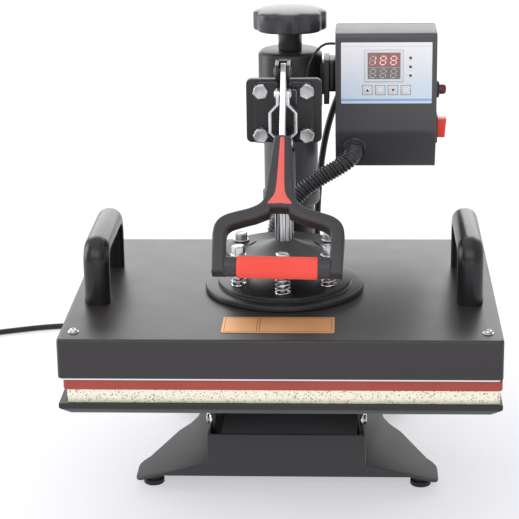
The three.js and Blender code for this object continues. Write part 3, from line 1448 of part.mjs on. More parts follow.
function lengthOf(points) {
  return points.slice(1).reduce((sum, point, i) => sum + point.distanceTo(points[i]), 0);
}
const lengths = [upperRoute, lowerRoute, coilLine].map((route) => lengthOf(route).toFixed(0));
console.log('cord lengths: upper, lower, coil', ...lengths);

// Plug with two blades and a round earth pin, lying on the table
function makePlug() {
  const half = plugWidth / 2;
  const plugThickness = 2 * (cordRadius + coilPitch);
  const body = prismY(roundedRectangle(-half, half, -plugThickness / 2, plugThickness / 2, plugRound),
    plugNeckLength, plugNeckLength + plugLength, plugEdge);
  const neck = turnedY([
    [0, restGap], [reliefTipRadius, restGap], [reliefRadius, plugNeckLength + overrun],
    [0, plugNeckLength + overrun],
  ], 0, 0, smallSegments);
  const face = plugNeckLength + plugLength - overrun;
  const tip = face + bladeLength + overrun;
  const bladeHalf = bladeThickness / 2;
  const blades = [-bladeSpacing / 2, bladeSpacing / 2].map((x) => box(x - bladeHalf, x + bladeHalf,
    face, tip, -bladeWidth / 2 + overrun, bladeWidth / 2 + overrun));
  const earth = turnedY(rod(earthRadius, face, tip + overrun), 0, -earthDrop, smallSegments);
  return join(body, neck, earth, ...blades);
}

const plug = add(press, 'mains_plug', makePlug(), blackPlastic);
const coilEnd = coilLine[coilLine.length - 1];
plug.position.copy(coilEnd);
plug.rotation.z = Math.atan2(-plugWay.x, plugWay.y);

export default press;
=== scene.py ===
# %% [markdown]
# # Dressing a flat heat press
# A heat press squeezes a garment between a hot plate and a padded one. The plain solids of this
# one are already packed as a frame, each in its place. This lesson loads them, lights them, and
# builds a finished piece over each solid that shows. One unit here is a metre, but the pieces
# are drawn in millimetres and made small at the end, since that is how a workshop measures.

# %% Load the frame
import math

import bmesh
import bpy
from mathutils import Matrix, Vector, noise


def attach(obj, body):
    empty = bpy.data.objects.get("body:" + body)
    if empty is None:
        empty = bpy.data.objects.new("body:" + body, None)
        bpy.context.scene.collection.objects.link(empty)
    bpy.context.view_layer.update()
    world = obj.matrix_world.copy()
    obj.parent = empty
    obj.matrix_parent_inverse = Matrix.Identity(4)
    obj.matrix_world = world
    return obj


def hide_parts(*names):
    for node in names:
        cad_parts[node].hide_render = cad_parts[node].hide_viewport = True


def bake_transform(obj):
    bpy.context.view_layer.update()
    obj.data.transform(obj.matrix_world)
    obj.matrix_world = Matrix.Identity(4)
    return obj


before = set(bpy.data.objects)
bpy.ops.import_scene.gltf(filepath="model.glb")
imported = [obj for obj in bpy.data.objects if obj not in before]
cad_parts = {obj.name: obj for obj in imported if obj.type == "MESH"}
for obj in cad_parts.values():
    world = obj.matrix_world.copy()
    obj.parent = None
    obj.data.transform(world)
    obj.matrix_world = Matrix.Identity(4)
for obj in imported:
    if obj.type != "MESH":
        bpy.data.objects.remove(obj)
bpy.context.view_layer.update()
MM = 0.001

# %% [markdown]
# ## Where the camera stood
# The photograph looks down on the press from just right of its middle. A camera is a place and
# three directions, so these are worked out from three angles and put into one matrix. Aiming at
# a target would be simpler, but it can't hold the small roll that the picture has.

# %% Camera
CAMERA_PLACE = Vector((64.1, -1743.2, 768.0)) * MM
CAMERA_LENS = 130.38
PITCH, YAW, ROLL = (math.radians(angle) for angle in (17.76, -2.99, -0.83))

forward = Vector((math.sin(YAW) * math.cos(PITCH), math.cos(YAW) * math.cos(PITCH), -math.sin(PITCH)))
level_right = Vector((math.cos(YAW), -math.sin(YAW), 0))
level_up = level_right.cross(forward)
camera_right = level_right * math.cos(ROLL) + level_up * math.sin(ROLL)
camera_up = level_up * math.cos(ROLL) - level_right * math.sin(ROLL)

camera_data = bpy.data.cameras.new("photo_camera")
camera_data.lens = CAMERA_LENS
camera_data.sensor_width = 36
camera = bpy.data.objects.new("photo_camera", camera_data)
camera.matrix_world = Matrix.Translation(CAMERA_PLACE) @ Matrix(
    (camera_right, camera_up, -forward)
).transposed().to_4x4()
bpy.context.scene.collection.objects.link(camera)
bpy.context.scene.camera = camera
print("camera:", tuple(round(c, 3) for c in CAMERA_PLACE), "lens", CAMERA_LENS)

# %% [markdown]
# ## Small tools for materials
# A colour picked on a screen is stored in sRGB, while the renderer counts light, so one function
# turns a hex value to linear. Another adds one shader node with its settings and its links. The
# rest of the lesson needs nothing more to write a material as a short list of nodes.

# %% Colour and node helpers
def srgb(code, alpha=1.0):
    """Turn a hex colour such as #2b2a2c to the linear colour that a shader expects."""
    parts = [int(code[i:i + 2], 16) / 255 for i in (1, 3, 5)]
    linear = [c / 12.92 if c <= 0.04045 else ((c + 0.055) / 1.055) ** 2.4 for c in parts]
    return (*linear, alpha)


def add_node(tree, kind, settings=None, links=None):
    """Add one node. A setting is a property or a socket, and a link feeds a socket."""
    node = tree.nodes.new(kind)
    for key, value in (settings or {}).items():
        if isinstance(key, str) and hasattr(node, key):
            setattr(node, key, value)
        else:
            node.inputs[key].default_value = value
    for key, source in (links or {}).items():
        tree.links.new(source, node.inputs[key])
    return node


def start_material(name, settings):
    """Make a material with one Principled shader, and give back what the next lines need."""
    material = bpy.data.materials.new(name)
    material.use_nodes = True
    tree = material.node_tree
    tree.nodes.clear()
    shader = add_node(tree, "ShaderNodeBsdfPrincipled", settings)
    add_node(tree, "ShaderNodeOutputMaterial", links={"Surface": shader.outputs["BSDF"]})
    place = add_node(tree, "ShaderNodeTexCoord").outputs["Object"]
    return material, tree, shader, place


def per_metre(millimetres):
    """The texture scale whose grains are this many millimetres wide."""
    return 1 / (millimetres * MM)


print("helpers ready; mid grey is", round(srgb("#808080")[0], 3))

# %% [markdown]
# ## Powder-coated steel
# The press is folded steel with a satin powder coat. The powder melts into a skin with a faint
# orange peel about a millimetre across, over a much finer grain. An image could carry that, but
# noise textures on Object coordinates need no file and keep their true scale on every piece.
# The peel bends the reflections, and a slow cloud in the colour stands for uneven thickness.

# %% Coats
def powder_coat(name, dark, light, roughness, peel_mm=1.1, depth_mm=0.018):
    """A satin coat: cloudy colour, varied roughness, and orange peel in the bump."""
    material, tree, shader, place = start_material(name, {"IOR": 1.5})
    cloud = add_node(tree, "ShaderNodeTexNoise", {"Scale": per_metre(34), "Detail": 4.0},
                     {"Vector": place})
    peel = add_node(tree, "ShaderNodeTexNoise",
                    {"Scale": per_metre(peel_mm), "Detail": 3.0, "Roughness": 0.6},
                    {"Vector": place})
    colour = add_node(tree, "ShaderNodeMix", {"data_type": "RGBA", 6: srgb(dark), 7: srgb(light)},
                      {0: cloud.outputs["Fac"]})
    tree.links.new(colour.outputs[2], shader.inputs["Base Color"])
    rough = add_node(tree, "ShaderNodeMapRange", {"To Min": roughness - 0.04, "To Max": roughness + 0.05},
                     {"Value": cloud.outputs["Fac"]})
    tree.links.new(rough.outputs["Result"], shader.inputs["Roughness"])
    bump = add_node(tree, "ShaderNodeBump", {"Strength": 0.5, "Distance": depth_mm * MM},
                    {"Height": peel.outputs["Fac"]})
    tree.links.new(bump.outputs["Normal"], shader.inputs["Normal"])
    return material


# Graphite satin coat: a soft charcoal that pales where light grazes a plate or a curve.
coat_grey = powder_coat("powder_coat_graphite", "#2f2e30", "#383739", 0.4)
# Black satin coat: the deepest tone, so the arm, the column and the tray sink into shade.
coat_black = powder_coat("powder_coat_black", "#1a191b", "#201f22", 0.38)
# Cover coat, sprayed thicker on a large sheet: a slower peel and a broad soft sheen on top.
coat_cover = powder_coat("powder_coat_cover", "#282526", "#2f2b2d", 0.36, 1.3)
# Box coat: a lighter grey skin with little peel, so the folded case looks flat and clean.
coat_box = powder_coat("powder_coat_box", "#4a484b", "#514f52", 0.4, 1.6, 0.012)
# Base coat, nearly matt: the sloping wings stay grey and mirror nothing of the floor.
coat_base = powder_coat("powder_coat_base", "#373538", "#3e3b3f", 0.6)
print("coats:", coat_grey.name, coat_black.name, coat_cover.name, coat_box.name, coat_base.name)

# %% [markdown]
# ## Zinc plate, aluminium and copper
# Bolts, links and the lever bar are bright zinc-plated steel: a blue-white metal with a cloudy,
# slightly uneven shine. The plunger is turned steel that slides in its guide, and its dark and
# light streaks running up and down are painted reflections. The heating plate is aluminium milled
# at its edge, and the bare plate on the cover is copper-coloured. A metal's colour is its
# reflection, so metallic is 1, but for the anodised plate, whose dye hides part of the metal. The
# true grain of plating is far below a millimetre, so it is drawn a few millimetres wide, as coarse as it
# needs to show.

# %% Metals
def plated_metal(name, dark, light, smooth, rough, grain_mm, stretch=(1, 1, 1), spread=0.5,
                 metallic=1.0):
    """A bare or plated metal whose colour and shine vary along a stretched noise."""
    material, tree, shader, place = start_material(name, {"Metallic": metallic})
    mapping = add_node(tree, "ShaderNodeMapping", {"Scale": stretch}, {"Vector": place})
    grain = add_node(tree, "ShaderNodeTexNoise", {"Scale": per_metre(grain_mm), "Detail": 2.0},
                     {"Vector": mapping.outputs["Vector"]})
    patches = add_node(tree, "ShaderNodeMapRange", {"From Min": 0.5 - spread, "From Max": 0.5 + spread},
                       {"Value": grain.outputs["Fac"]})
    colour = add_node(tree, "ShaderNodeMix", {"data_type": "RGBA", 6: srgb(dark), 7: srgb(light)},
                      {0: patches.outputs["Result"]})
    tree.links.new(colour.outputs[2], shader.inputs["Base Color"])
    shine = add_node(tree, "ShaderNodeMapRange", {"To Min": smooth, "To Max": rough},
                     {"Value": grain.outputs["Fac"]})
    tree.links.new(shine.outputs["Result"], shader.inputs["Roughness"])
    bump = add_node(tree, "ShaderNodeBump", {"Strength": 0.3, "Distance": 0.006 * MM},
                    {"Height": grain.outputs["Fac"]})
    tree.links.new(bump.outputs["Normal"], shader.inputs["Normal"])
    return material


# Bright zinc plate: blue-white, so bolts and links sparkle against the black.
zinc = plated_metal("zinc_plate", "#b9babd", "#f1f2f4", 0.16, 0.34, 5)
# Turned steel with painted reflections: dark and light streaks that run up and down the plunger.
zinc_reflection_streaked = plated_metal("zinc_painted_reflection_streaks", "#1d1d20", "#f6f6f7", 0.2, 0.36, 2, (1, 1, 0.02),
                             spread=0.14)
# Drawn spring steel: the smoothest metal here, with small sharp glints on each turn.
steel_spring = plated_metal("spring_wire", "#c4c5c8", "#f5f5f6", 0.12, 0.26, 3)
# Milled aluminium: one pale, even line round the edge of the heating plate.
aluminium = plated_metal("aluminium_milled", "#d9dadb", "#f2f2f2", 0.3, 0.45, 1.5, (0.05, 0.05, 1))
# Copper-coloured anodised plate: half dye and half metal, so it looks warm from every side.
copper = plated_metal("copper_anodised", "#d99a62", "#ecb57c", 0.42, 0.5, 26, (1, 0.3, 1),
                      metallic=0.55)
# Passivated zinc: a flat light grey, duller than the bright plate; on the rear spring bolts it is a
# painted shade.
zinc_dull = plated_metal("zinc_passivated", "#96979b", "#d9dadc", 0.28, 0.46, 3)
# Mid grey zinc for the painted highlight rims on the toggle's ears: a film that lets only the edges shine.
zinc_rim_highlight = plated_metal("zinc_painted_rim_highlight", "#4c4c50", "#8e8e92", 0.3, 0.5, 3)
# Turned brass: a warm dull yellow on the plug's blades.
brass = plated_metal("brass_turned", "#a8864a", "#c9a766", 0.25, 0.4, 3)
print("metals:", zinc.name, aluminium.name, copper.name)

# %% [markdown]
# ## Moulded plastic and rubber
# The handles are glass-filled nylon from a spark-eroded mould, which leaves a fine even grain.
# The feet and cords are soft black PVC or rubber, which is duller. The grip and the inlay are
# silicone rubber in red. They differ in grain and roughness alone, so one recipe serves. The
# true grain is about a tenth of a millimetre, so it is drawn coarser, to show at all.

# %% Plastics and rubbers
def moulded(name, dark, light, roughness, grain_mm, depth_mm=0.015, **shader_settings):
    """A moulded plastic or rubber: almost even colour and a fine grain from the mould."""
    settings = {"Roughness": roughness, "IOR": 1.48, **shader_settings}
    material, tree, shader, place = start_material(name, settings)
    cloud = add_node(tree, "ShaderNodeTexNoise", {"Scale": per_metre(22), "Detail": 3.0},
                     {"Vector": place})
    colour = add_node(tree, "ShaderNodeMix", {"data_type": "RGBA", 6: srgb(dark), 7: srgb(light)},
                      {0: cloud.outputs["Fac"]})
    tree.links.new(colour.outputs[2], shader.inputs["Base Color"])
    grain = add_node(tree, "ShaderNodeTexNoise", {"Scale": per_metre(grain_mm), "Detail": 2.0},
                     {"Vector": place})
    bump = add_node(tree, "ShaderNodeBump", {"Strength": 0.4, "Distance": depth_mm * MM},
                    {"Height": grain.outputs["Fac"]})
    tree.links.new(bump.outputs["Normal"], shader.inputs["Normal"])
    return material


# Spark-grained nylon: charcoal with a soft broad sheen, on the handle and its core.
nylon = moulded("nylon_spark_grain", "#302e31", "#373538", 0.4, 0.7)
# Nylon from a polished mould: blacker, with a clear light along each side handle.
nylon_glossy = moulded("nylon_polished", "#141316", "#19181b", 0.27, 1.2, 0.01)
# Knob nylon: a little greyer, so that its lobes can be told apart.
plastic_knob = moulded("nylon_knob", "#343335", "#3a393b", 0.27, 0.8)
# ABS: plain black with tight small lights, on bezels and switch cases.
plastic_black = moulded("abs_black", "#161517", "#1c1b1d", 0.34, 0.9, 0.008)
# Foot rubber: dull and nearly black, with hardly any light on it.
rubber_black = moulded("rubber_foot", "#131214", "#1a191b", 0.6, 0.8)
# PVC jacket: soft black with one long dull line of light along the cord.
cord_jacket = moulded("pvc_cord_jacket", "#121113", "#19181a", 0.45, 1.2, 0.008)
# Corrugated nylon: a dark grey whose ribs each catch a line of light.
conduit_plastic = moulded("nylon_conduit", "#343336", "#414043", 0.33, 1.0, 0.004)
# Silicone rubber: an even, warm red, matt enough to glow and not shine.
rubber_red = moulded("silicone_rubber_red", "#f04a3c", "#f85647", 0.5, 0.6)
# Inlay rubber: the same red, paler and smoother where a hand rubs it.
rubber_inlay = moulded("silicone_rubber_inlay", "#e46058", "#ea6a62", 0.42, 0.6)
# Polycarbonate: the cleanest and hottest red, with a smooth face.
rocker_red = moulded("polycarbonate_rocker_red", "#fa4334", "#ff5040", 0.4, 2.0, 0.002)
print("plastics:", nylon.name, rubber_red.name, rocker_red.name)

# %% [markdown]
# ## Small tools for shapes
# Each shape starts as a few points or a bmesh primitive, and operators do the rest: a profile is
# spun, an outline is raised, sharp edges are bevelled. Real edges are never sharp, and the thin
# bright line that a bevel catches is what makes metal look like metal, so nearly every
# piece passes through `soften`.

# %% Shape helpers
def spun(profile, steps=96):
    """Spin (radius, height) points round the Z axis into a closed turned shape."""
    bm = bmesh.new()
    line = [bm.verts.new((radius, 0, height)) for radius, height in profile]
    for start, end in zip(line, line[1:]):
        bm.edges.new((start, end))
    bmesh.ops.spin(bm, geom=bm.verts[:] + bm.edges[:], cent=(0, 0, 0), axis=(0, 0, 1),
                   angle=2 * math.pi, steps=steps, use_merge=True)
    bmesh.ops.remove_doubles(bm, verts=bm.verts, dist=0.001)
    bmesh.ops.recalc_face_normals(bm, faces=bm.faces)
    return bm


def raised(outline, low, high, along="Z"):
    """Raise an outline of (u, v) points from low to high along an axis."""
    place = {"Z": lambda u, v, w: (u, v, w), "Y": lambda u, v, w: (u, w, v),
             "X": lambda u, v, w: (w, u, v)}[along]
    bm = bmesh.new()
    face = bm.faces.new([bm.verts.new(place(u, v, low)) for u, v in outline])
    grown = bmesh.ops.extrude_face_region(bm, geom=[face])
    moved = [part for part in grown["geom"] if isinstance(part, bmesh.types.BMVert)]
    bmesh.ops.translate(bm, verts=moved, vec=place(0, 0, high - low))
    bmesh.ops.recalc_face_normals(bm, faces=bm.faces)
    return bm


def block(x0, x1, y0, y1, z0, z1):
    """A plain block between two corners, to be bevelled later."""
    return raised([(x0, y0), (x1, y0), (x1, y1), (x0, y1)], z0, z1)


def bevel(bm, edges, width, segments):
    """Bevel chosen edges to a round of this width."""
    bmesh.ops.bevel(bm, geom=edges, offset=width, offset_type="OFFSET", segments=segments,
                    profile=0.5, affect="EDGES", material=-1, clamp_overlap=True)
    return bm


def soften(bm, width, segments=3, over=30):
    """Round every edge whose faces meet at more than this many degrees."""
    sharp = [edge for edge in bm.edges
             if edge.is_manifold and edge.calc_face_angle(0) > math.radians(over)]
    return bevel(bm, sharp, width, segments)


def round_corners(bm, width, along, segments=8, where=None):
    """Round the edges that run along one axis, and that the test on their middle lets through."""
    axis = "XYZ".index(along)
    chosen = []
    for edge in bm.edges:
        start, end = (vert.co for vert in edge.verts)
        if abs((end - start).normalized()[axis]) > 0.99 and (not where or where((start + end) / 2)):
            chosen.append(edge)
    return bevel(bm, chosen, width, segments)


def gathered(*parts):
    """Put several finished meshes into one."""
    whole = bmesh.new()
    for part in parts:
        spare = bpy.data.meshes.new("spare")
        part.to_mesh(spare)
        part.free()
        whole.from_mesh(spare)
        bpy.data.meshes.remove(spare)
    return whole


def moved_by(bm, x=0, y=0, z=0, turn=None):
    """Turn a mesh about the origin, and then move it."""
    if turn is not None:
        bmesh.ops.transform(bm, matrix=turn, verts=bm.verts)
    bmesh.ops.translate(bm, verts=bm.verts, vec=(x, y, z))
    return bm


TURN_TO_X = Matrix.Rotation(math.radians(90), 4, "Y")
TURN_TO_FRONT = Matrix.Rotation(math.radians(90), 4, "X")
TURN_TO_BACK = Matrix.Rotation(math.radians(-90), 4, "X")
print("shape helpers ready")

# %% [markdown]
# ## From mesh to piece
# A finished mesh is scaled from millimetres to metres in its own points, so its object stays at
# the origin, unturned. It then rides on the body that it belongs to, and hides the plain solid
# that it stands for. A solid whose plan is already right is copied and merged first, because
# its mesh is loose triangles, and only then gets its rounded edges.

# %% Piece helpers
def mesh_object(name, mesh, material, crease=32):
    """Wrap a mesh that is already in metres in an object, smooth except at creases."""
    mesh.shade_smooth()
    mesh.set_sharp_from_angle(angle=math.radians(crease))
    mesh.materials.clear()
    mesh.materials.append(material)
    thing = bpy.data.objects.new(name, mesh)
    bpy.context.scene.collection.objects.link(thing)
    return thing


def settle(thing, body, slot, *stands_for):
    """Ride on a body and stand for the solids that it covers. The slot is not used."""
    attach(thing, body)
    if stands_for:
        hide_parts(*stands_for)
    return thing


def make_piece(name, bm, body, slot, material, *stands_for, crease=32):
    """Turn a mesh in millimetres into a piece of the press."""
    bmesh.ops.remove_doubles(bm, verts=bm.verts, dist=0.001)
    bmesh.ops.scale(bm, vec=(MM, MM, MM), verts=bm.verts)
    open_edges = sum(not edge.is_manifold for edge in bm.edges)
    mesh = bpy.data.meshes.new(name)
    bm.to_mesh(mesh)
    bm.free()
    thing = mesh_object(name, mesh, material, crease)
    settle(thing, body, slot, *stands_for)
    print(f"{name}: {len(mesh.polygons)} faces" + (f", {open_edges} open edges" if open_edges else ""))
    return thing


def from_solid(node):
    """A merged copy of a solid of the frame, in millimetres, with its flat faces whole again."""
    bm = bmesh.new()
    bm.from_mesh(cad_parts[node].data)
    bmesh.ops.scale(bm, vec=(1 / MM, 1 / MM, 1 / MM), verts=bm.verts)
    bmesh.ops.remove_doubles(bm, verts=bm.verts, dist=0.003)
    bmesh.ops.dissolve_limit(bm, angle_limit=math.radians(0.6), verts=bm.verts, edges=bm.edges)
    return bm


def paint_solid(node, material):
    """Give a solid that stays in sight, or inside, its material."""
    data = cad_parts[node].data
    data.materials.clear()
    data.materials.append(material)


print("piece helpers ready")

# %% [markdown]
# ## The mains cord
# A mains cord is a fixed length of something that bends, so its facts come before its shape. It
# leaves the back of the control box through a tapered relief, falls behind the column, turns on
# to the table, runs out to the left and ends in a small coil with its plug. It is 6.8 mm thick
# and about 1.8 m long. A line through a few points is smoothed, and a curve thickens it into a
# tube. The curve is then made a mesh.

# %% Route helpers
COVER_TOP = 204
COVER_FRONT = -215
CORD_RADIUS = 3.4


def routed(points):
    """Points given as x, distance behind the cover's front, and height over the cover's top."""
    return [Vector((x, COVER_FRONT + y, COVER_TOP + z)) for x, y, z in points]


def smooth_route(points, step):
    """A smooth line through the points, with a new point about every step millimetres."""
    padded = [points[0] * 2 - points[1], *points, points[-1] * 2 - points[-2]]
    line = []
    for p0, p1, p2, p3 in zip(padded, padded[1:], padded[2:], padded[3:]):
        count = max(1, round((p2 - p1).length / step))
        knots = [0.0]
        for a, b in ((p0, p1), (p1, p2), (p2, p3)):
            knots.append(knots[-1] + max((b - a).length, 0.01) ** 0.5)
        t0, t1, t2, t3 = knots
        for i in range(count):
            t = t1 + (t2 - t1) * i / count
            a1 = p0 * ((t1 - t) / (t1 - t0)) + p1 * ((t - t0) / (t1 - t0))
            a2 = p1 * ((t2 - t) / (t2 - t1)) + p2 * ((t - t1) / (t2 - t1))
            a3 = p2 * ((t3 - t) / (t3 - t2)) + p3 * ((t - t2) / (t3 - t2))
            b1 = a1 * ((t2 - t) / (t2 - t0)) + a2 * ((t - t0) / (t2 - t0))
            b2 = a2 * ((t3 - t) / (t3 - t1)) + a3 * ((t - t1) / (t3 - t1))
            line.append(b1 * ((t2 - t) / (t2 - t1)) + b2 * ((t - t1) / (t2 - t1)))
    return [*line, points[-1]]


def tube_mesh(name, line, radius, sides=4, radii=None):
    """Thicken a line of points in millimetres into a mesh tube with closed ends, in metres."""
    curve = bpy.data.curves.new(name, "CURVE")
    curve.dimensions = "3D"
    curve.bevel_depth = radius * MM
    curve.bevel_resolution = sides
    curve.use_fill_caps = True
    spline = curve.splines.new("POLY")
    spline.points.add(len(line) - 1)
    for i, point in enumerate(line):
        spline.points[i].co = (*(point * MM), 1)
        spline.points[i].radius = radii[i] / radius if radii else 1
    carrier = bpy.data.objects.new(name, curve)
    bpy.context.scene.collection.objects.link(carrier)
    depsgraph = bpy.context.evaluated_depsgraph_get()
    mesh = bpy.data.meshes.new_from_object(carrier.evaluated_get(depsgraph))
    bpy.data.objects.remove(carrier)
    mesh.name = name
    return mesh


def tube_piece(name, line, radius, material, sides=4, radii=None, crease=32):
    """A tube along a line, wrapped in its object."""
    return mesh_object(name, tube_mesh(name, line, radius, sides, radii), material, crease)


def bend_between(thing, near, far, start, end, slot, *stands_for):
    """Bake a piece's place into its mesh and hide the solids that it stands for. The two bodies, the start
    and the end are not used.
    """
    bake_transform(thing)
    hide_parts(*stands_for)


def length_of(line):
    """The length of a line of points, in the unit of its points."""
    return sum((b - a).length for a, b in zip(line, line[1:]))


print("route helpers ready")

# %% [markdown]
# ## The upper stretch
# From the box the cord drops behind the head to the foot of the sleeve. Its points are listed,
# because they follow the solid that stands for this stretch, and they are smoothed into one curve.
# It hangs between the arm and the collar that slides on the post.

# %% Upper stretch of the cord
upper_points = routed([
    (60, 388.3, 146), (60, 395.2, 145.9), (59.3, 402.5, 144.2), (57.5, 408.6, 140.2),
    (54.6, 412.6, 134.4), (51, 414.2, 127.6), (47.2, 413.8, 119.8), (43.6, 412.8, 110.4),
    (40.2, 411.6, 99.8), (37, 410.4, 88), (34, 409.2, 74.4), (31.4, 408.2, 58.6),
    (29.2, 407.4, 40.6), (27.4, 406.8, 20.8), (26.2, 406.4, 0.6), (25.6, 406.2, -17.6),
    (25.4, 406.2, -35.7),
])
upper_line = smooth_route(upper_points, 4)
upper_cord = tube_piece("mains_cord_upper_run", upper_line, CORD_RADIUS, cord_jacket)
bend_between(upper_cord, "lift", "arm", upper_points[-1], upper_points[5], "cord_black",
             "mains_cord_upper")
print("upper stretch:", round(length_of(upper_line)), "mm")

# %% [markdown]
# ## The stretch on the table and its coil
# The spare length is wound as a person would put it away: round and round on the table, up one
# layer, and back out on top, with the plug beside it. The coil lies left of the press, outside the
# picture. Its turns are worked out from a pitch a little over the cord's thickness, which keeps
# them apart as a wound cord's are. A screw modifier could wind them, but not climb on themselves.

# %% Lower stretch and coil
COIL_MEAN, COIL_TURNS, COIL_PITCH, COIL_STEPS = 37.5, 4, 7.3, 24
COIL_LEAD, START_GAP = 27, 0.3

lower_points = routed([
    (25.4, 406.2, -36), (25.4, 406.8, -52), (25.2, 408.8, -70), (24.8, 412.6, -88),
    (23.8, 418.4, -106), (22, 426.6, -123), (19, 437.2, -139.6), (14.4, 449.8, -155),
    (8, 463.6, -168.4), (-0.4, 477.8, -179.4), (-11.4, 492, -187.8), (-25, 506, -193.8),
    (-41.6, 519.6, -197.8), (-61, 532.8, -199.9), (-84, 546, -200.6), (-110, 558.8, -200.6),
    (-138, 570.4, -200.6), (-167, 580.4, -200.6), (-197, 588.2, -200.6), (-227, 593, -200.6),
    (-258, 594.2, -200.6), (-288.5, 591.6, -200.6), (-311, 586.4, -200.6), (-334, 578.6, -200.6),
    (-357, 569.8, -200.6), (-380, 560.8, -200.6), (-403, 551.8, -200.6),
])
heading = (lower_points[-1] - lower_points[-2]).normalized()
to_centre = Vector((heading.y, -heading.x, 0))
coil_outer = COIL_MEAN + COIL_PITCH * COIL_TURNS / 4
coil_start = lower_points[-1] + heading * START_GAP
coil_centre = coil_start + heading * 2 * CORD_RADIUS + to_centre * coil_outer
first_angle = math.atan2(-to_centre.y, -to_centre.x)
half_way = COIL_TURNS * COIL_STEPS / 2
climb = COIL_STEPS / 4
coil_points = []
for i in range(COIL_TURNS * COIL_STEPS + 1):
    from_reverse = min(abs(i - half_way) / half_way, 1)
    radius = coil_outer - COIL_PITCH * (COIL_TURNS / 2) * (1 - from_reverse)
    angle = first_angle - 2 * math.pi * i / COIL_STEPS
    lift = min(max((i - half_way + climb) / (2 * climb), 0), 1)
    coil_points.append(Vector((coil_centre.x + radius * math.cos(angle),
                               coil_centre.y + radius * math.sin(angle),
                               lower_points[-1].z + COIL_PITCH * lift)))
plug_way = coil_points[-1] - coil_points[-2]
plug_way = Vector((plug_way.x, plug_way.y, 0)).normalized()
plug_place = coil_points[-1] + plug_way * COIL_LEAD

lower_line = smooth_route(lower_points + coil_points + [plug_place], 4)
lower_cord = tube_piece("mains_cord_lower_run", lower_line, CORD_RADIUS, cord_jacket)
bend_between(lower_cord, "base", "lift", lower_points[8], lower_points[0], "cord_black",
             "mains_cord_lower", "mains_coil")
print("lower stretch and coil:", round(length_of(lower_line)), "mm")

# %% [markdown]
# ## The plug
# A moulded plug has a soft neck with bend rings, a body with a waist for the fingers, two flat
# blades and a round earth pin. Its body is a block with very round edges, and the rings on
# the neck are part of one turned profile.

# %% Plug
PLUG_NECK, PLUG_LENGTH, PLUG_WIDTH, PLUG_THICKNESS = 14, 38, 24, 21.4
BLADE_LENGTH, BLADE_SPACING = 17, 12.7


def lie_at_plug(bm):
    """Move a mesh drawn along +Y from the origin to the end of the cord."""
    turn = Matrix.Rotation(math.atan2(-plug_way.x, plug_way.y), 4, "Z")
    return moved_by(bm, *plug_place, turn=turn)


plug_body = block(-PLUG_WIDTH / 2, PLUG_WIDTH / 2, PLUG_NECK, PLUG_NECK + PLUG_LENGTH,
                  -PLUG_THICKNESS / 2, PLUG_THICKNESS / 2)
round_corners(plug_body, 7, "Y", 6)
soften(plug_body, 1.6, 3)
neck_profile = [(0, 0.3), (4, 0.3), (4.4, 2), (3.9, 2.6), (3.9, 4), (4.8, 4.4), (5, 6.4), (4.4, 7),
                (4.4, 8.6), (5.4, 9), (5.6, 11), (5.2, 11.6), (6, 15.5), (0, 15.5)]
plug_neck = moved_by(spun(neck_profile, 40), turn=TURN_TO_BACK)
plug = make_piece("plug_body", lie_at_plug(gathered(plug_body, plug_neck)), "base", "plastic_black",
                  cord_jacket, "mains_plug")

blades = []
for side in (-1, 1):
    middle = side * BLADE_SPACING / 2
    blade = block(middle - 0.8, middle + 0.8, PLUG_NECK + PLUG_LENGTH - 2,
                  PLUG_NECK + PLUG_LENGTH + BLADE_LENGTH, -1.2, 5.2)
    blades.append(soften(blade, 0.5, 2))
earth = spun([(0, 0), (2.4, 0), (2.4, BLADE_LENGTH), (1.6, 18.6), (0, 18.6)], 32)
blades.append(moved_by(earth, 0, PLUG_NECK + PLUG_LENGTH - 2, -6, turn=TURN_TO_BACK))
plug_blades = make_piece("plug_blades", lie_at_plug(gathered(*blades)), "base", "plastic_black", brass)

# %% [markdown]
# ## Strain relief
# A rubber boot keeps the cord from kinking where it leaves the box. Its rings grow smaller towards
# the cord, so it is one turned profile.

# %% Strain relief
relief_profile = [(0, 0.3), (6, 0.3), (6, 2.8), (5, 3.4), (5.2, 5), (4.6, 5.6), (4.6, 7.6), (5, 8.2),
                  (4.9, 10), (4.3, 10.6), (4.3, 12.6), (4.7, 13.2), (4.6, 15), (4, 15.6), (4, 17.6),
                  (4.4, 18.2), (4.3, 20), (3.9, 20.6), (3.9, 26), (0, 26)]
relief = moved_by(spun(relief_profile, 40), *routed([(60, 362, 146)])[0], turn=TURN_TO_BACK)
make_piece("cord_relief_boot", relief, "arm", "rubber_black", rubber_black, "cord_relief")

# %% [markdown]
# ## Floor and light
# Product photographs like this one are taken in a bright white room. The floor is one big pale
# sheet, and the world is nearly white, so black metal has something to reflect. Panels add what
# the room alone can't. A bright wall behind the press draws the light sheen on every top face,
# and a small panel nearer to it makes that sheen stronger towards the back of the cover. A panel
# overhead makes the soft shadow, a wall on the left shades round parts across, and a high and a
# low panel in front fill the dark faces. Two tiny cards under the tray light the floor of the
# base, which shows through the gap. Stronger lamps in smaller number would give hard shadows.

# %% Floor, world and lights
# White floor paint: matt and nearly even, with a little light of its own, as a lit backdrop has.
floor_material, floor_tree, floor_shader, floor_place = start_material(
    "floor_paint_white", {"Roughness": 0.85, "Specular IOR Level": 0.2, "Emission Color": srgb("#fcfcff"),
                          "Emission Strength": 0.5})
floor_cloud = add_node(floor_tree, "ShaderNodeTexNoise", {"Scale": per_metre(900), "Detail": 2.0},
                       {"Vector": floor_place})
floor_colour = add_node(floor_tree, "ShaderNodeMix",
                        {"data_type": "RGBA", 6: srgb("#b6b6b9"), 7: srgb("#bababd")},
                        {0: floor_cloud.outputs["Fac"]})
floor_tree.links.new(floor_colour.outputs[2], floor_shader.inputs["Base Color"])
floor_bm = bmesh.new()
bmesh.ops.create_grid(floor_bm, x_segments=4, y_segments=4, size=12)
floor_mesh = bpy.data.meshes.new("floor")
floor_bm.to_mesh(floor_mesh)
floor_bm.free()
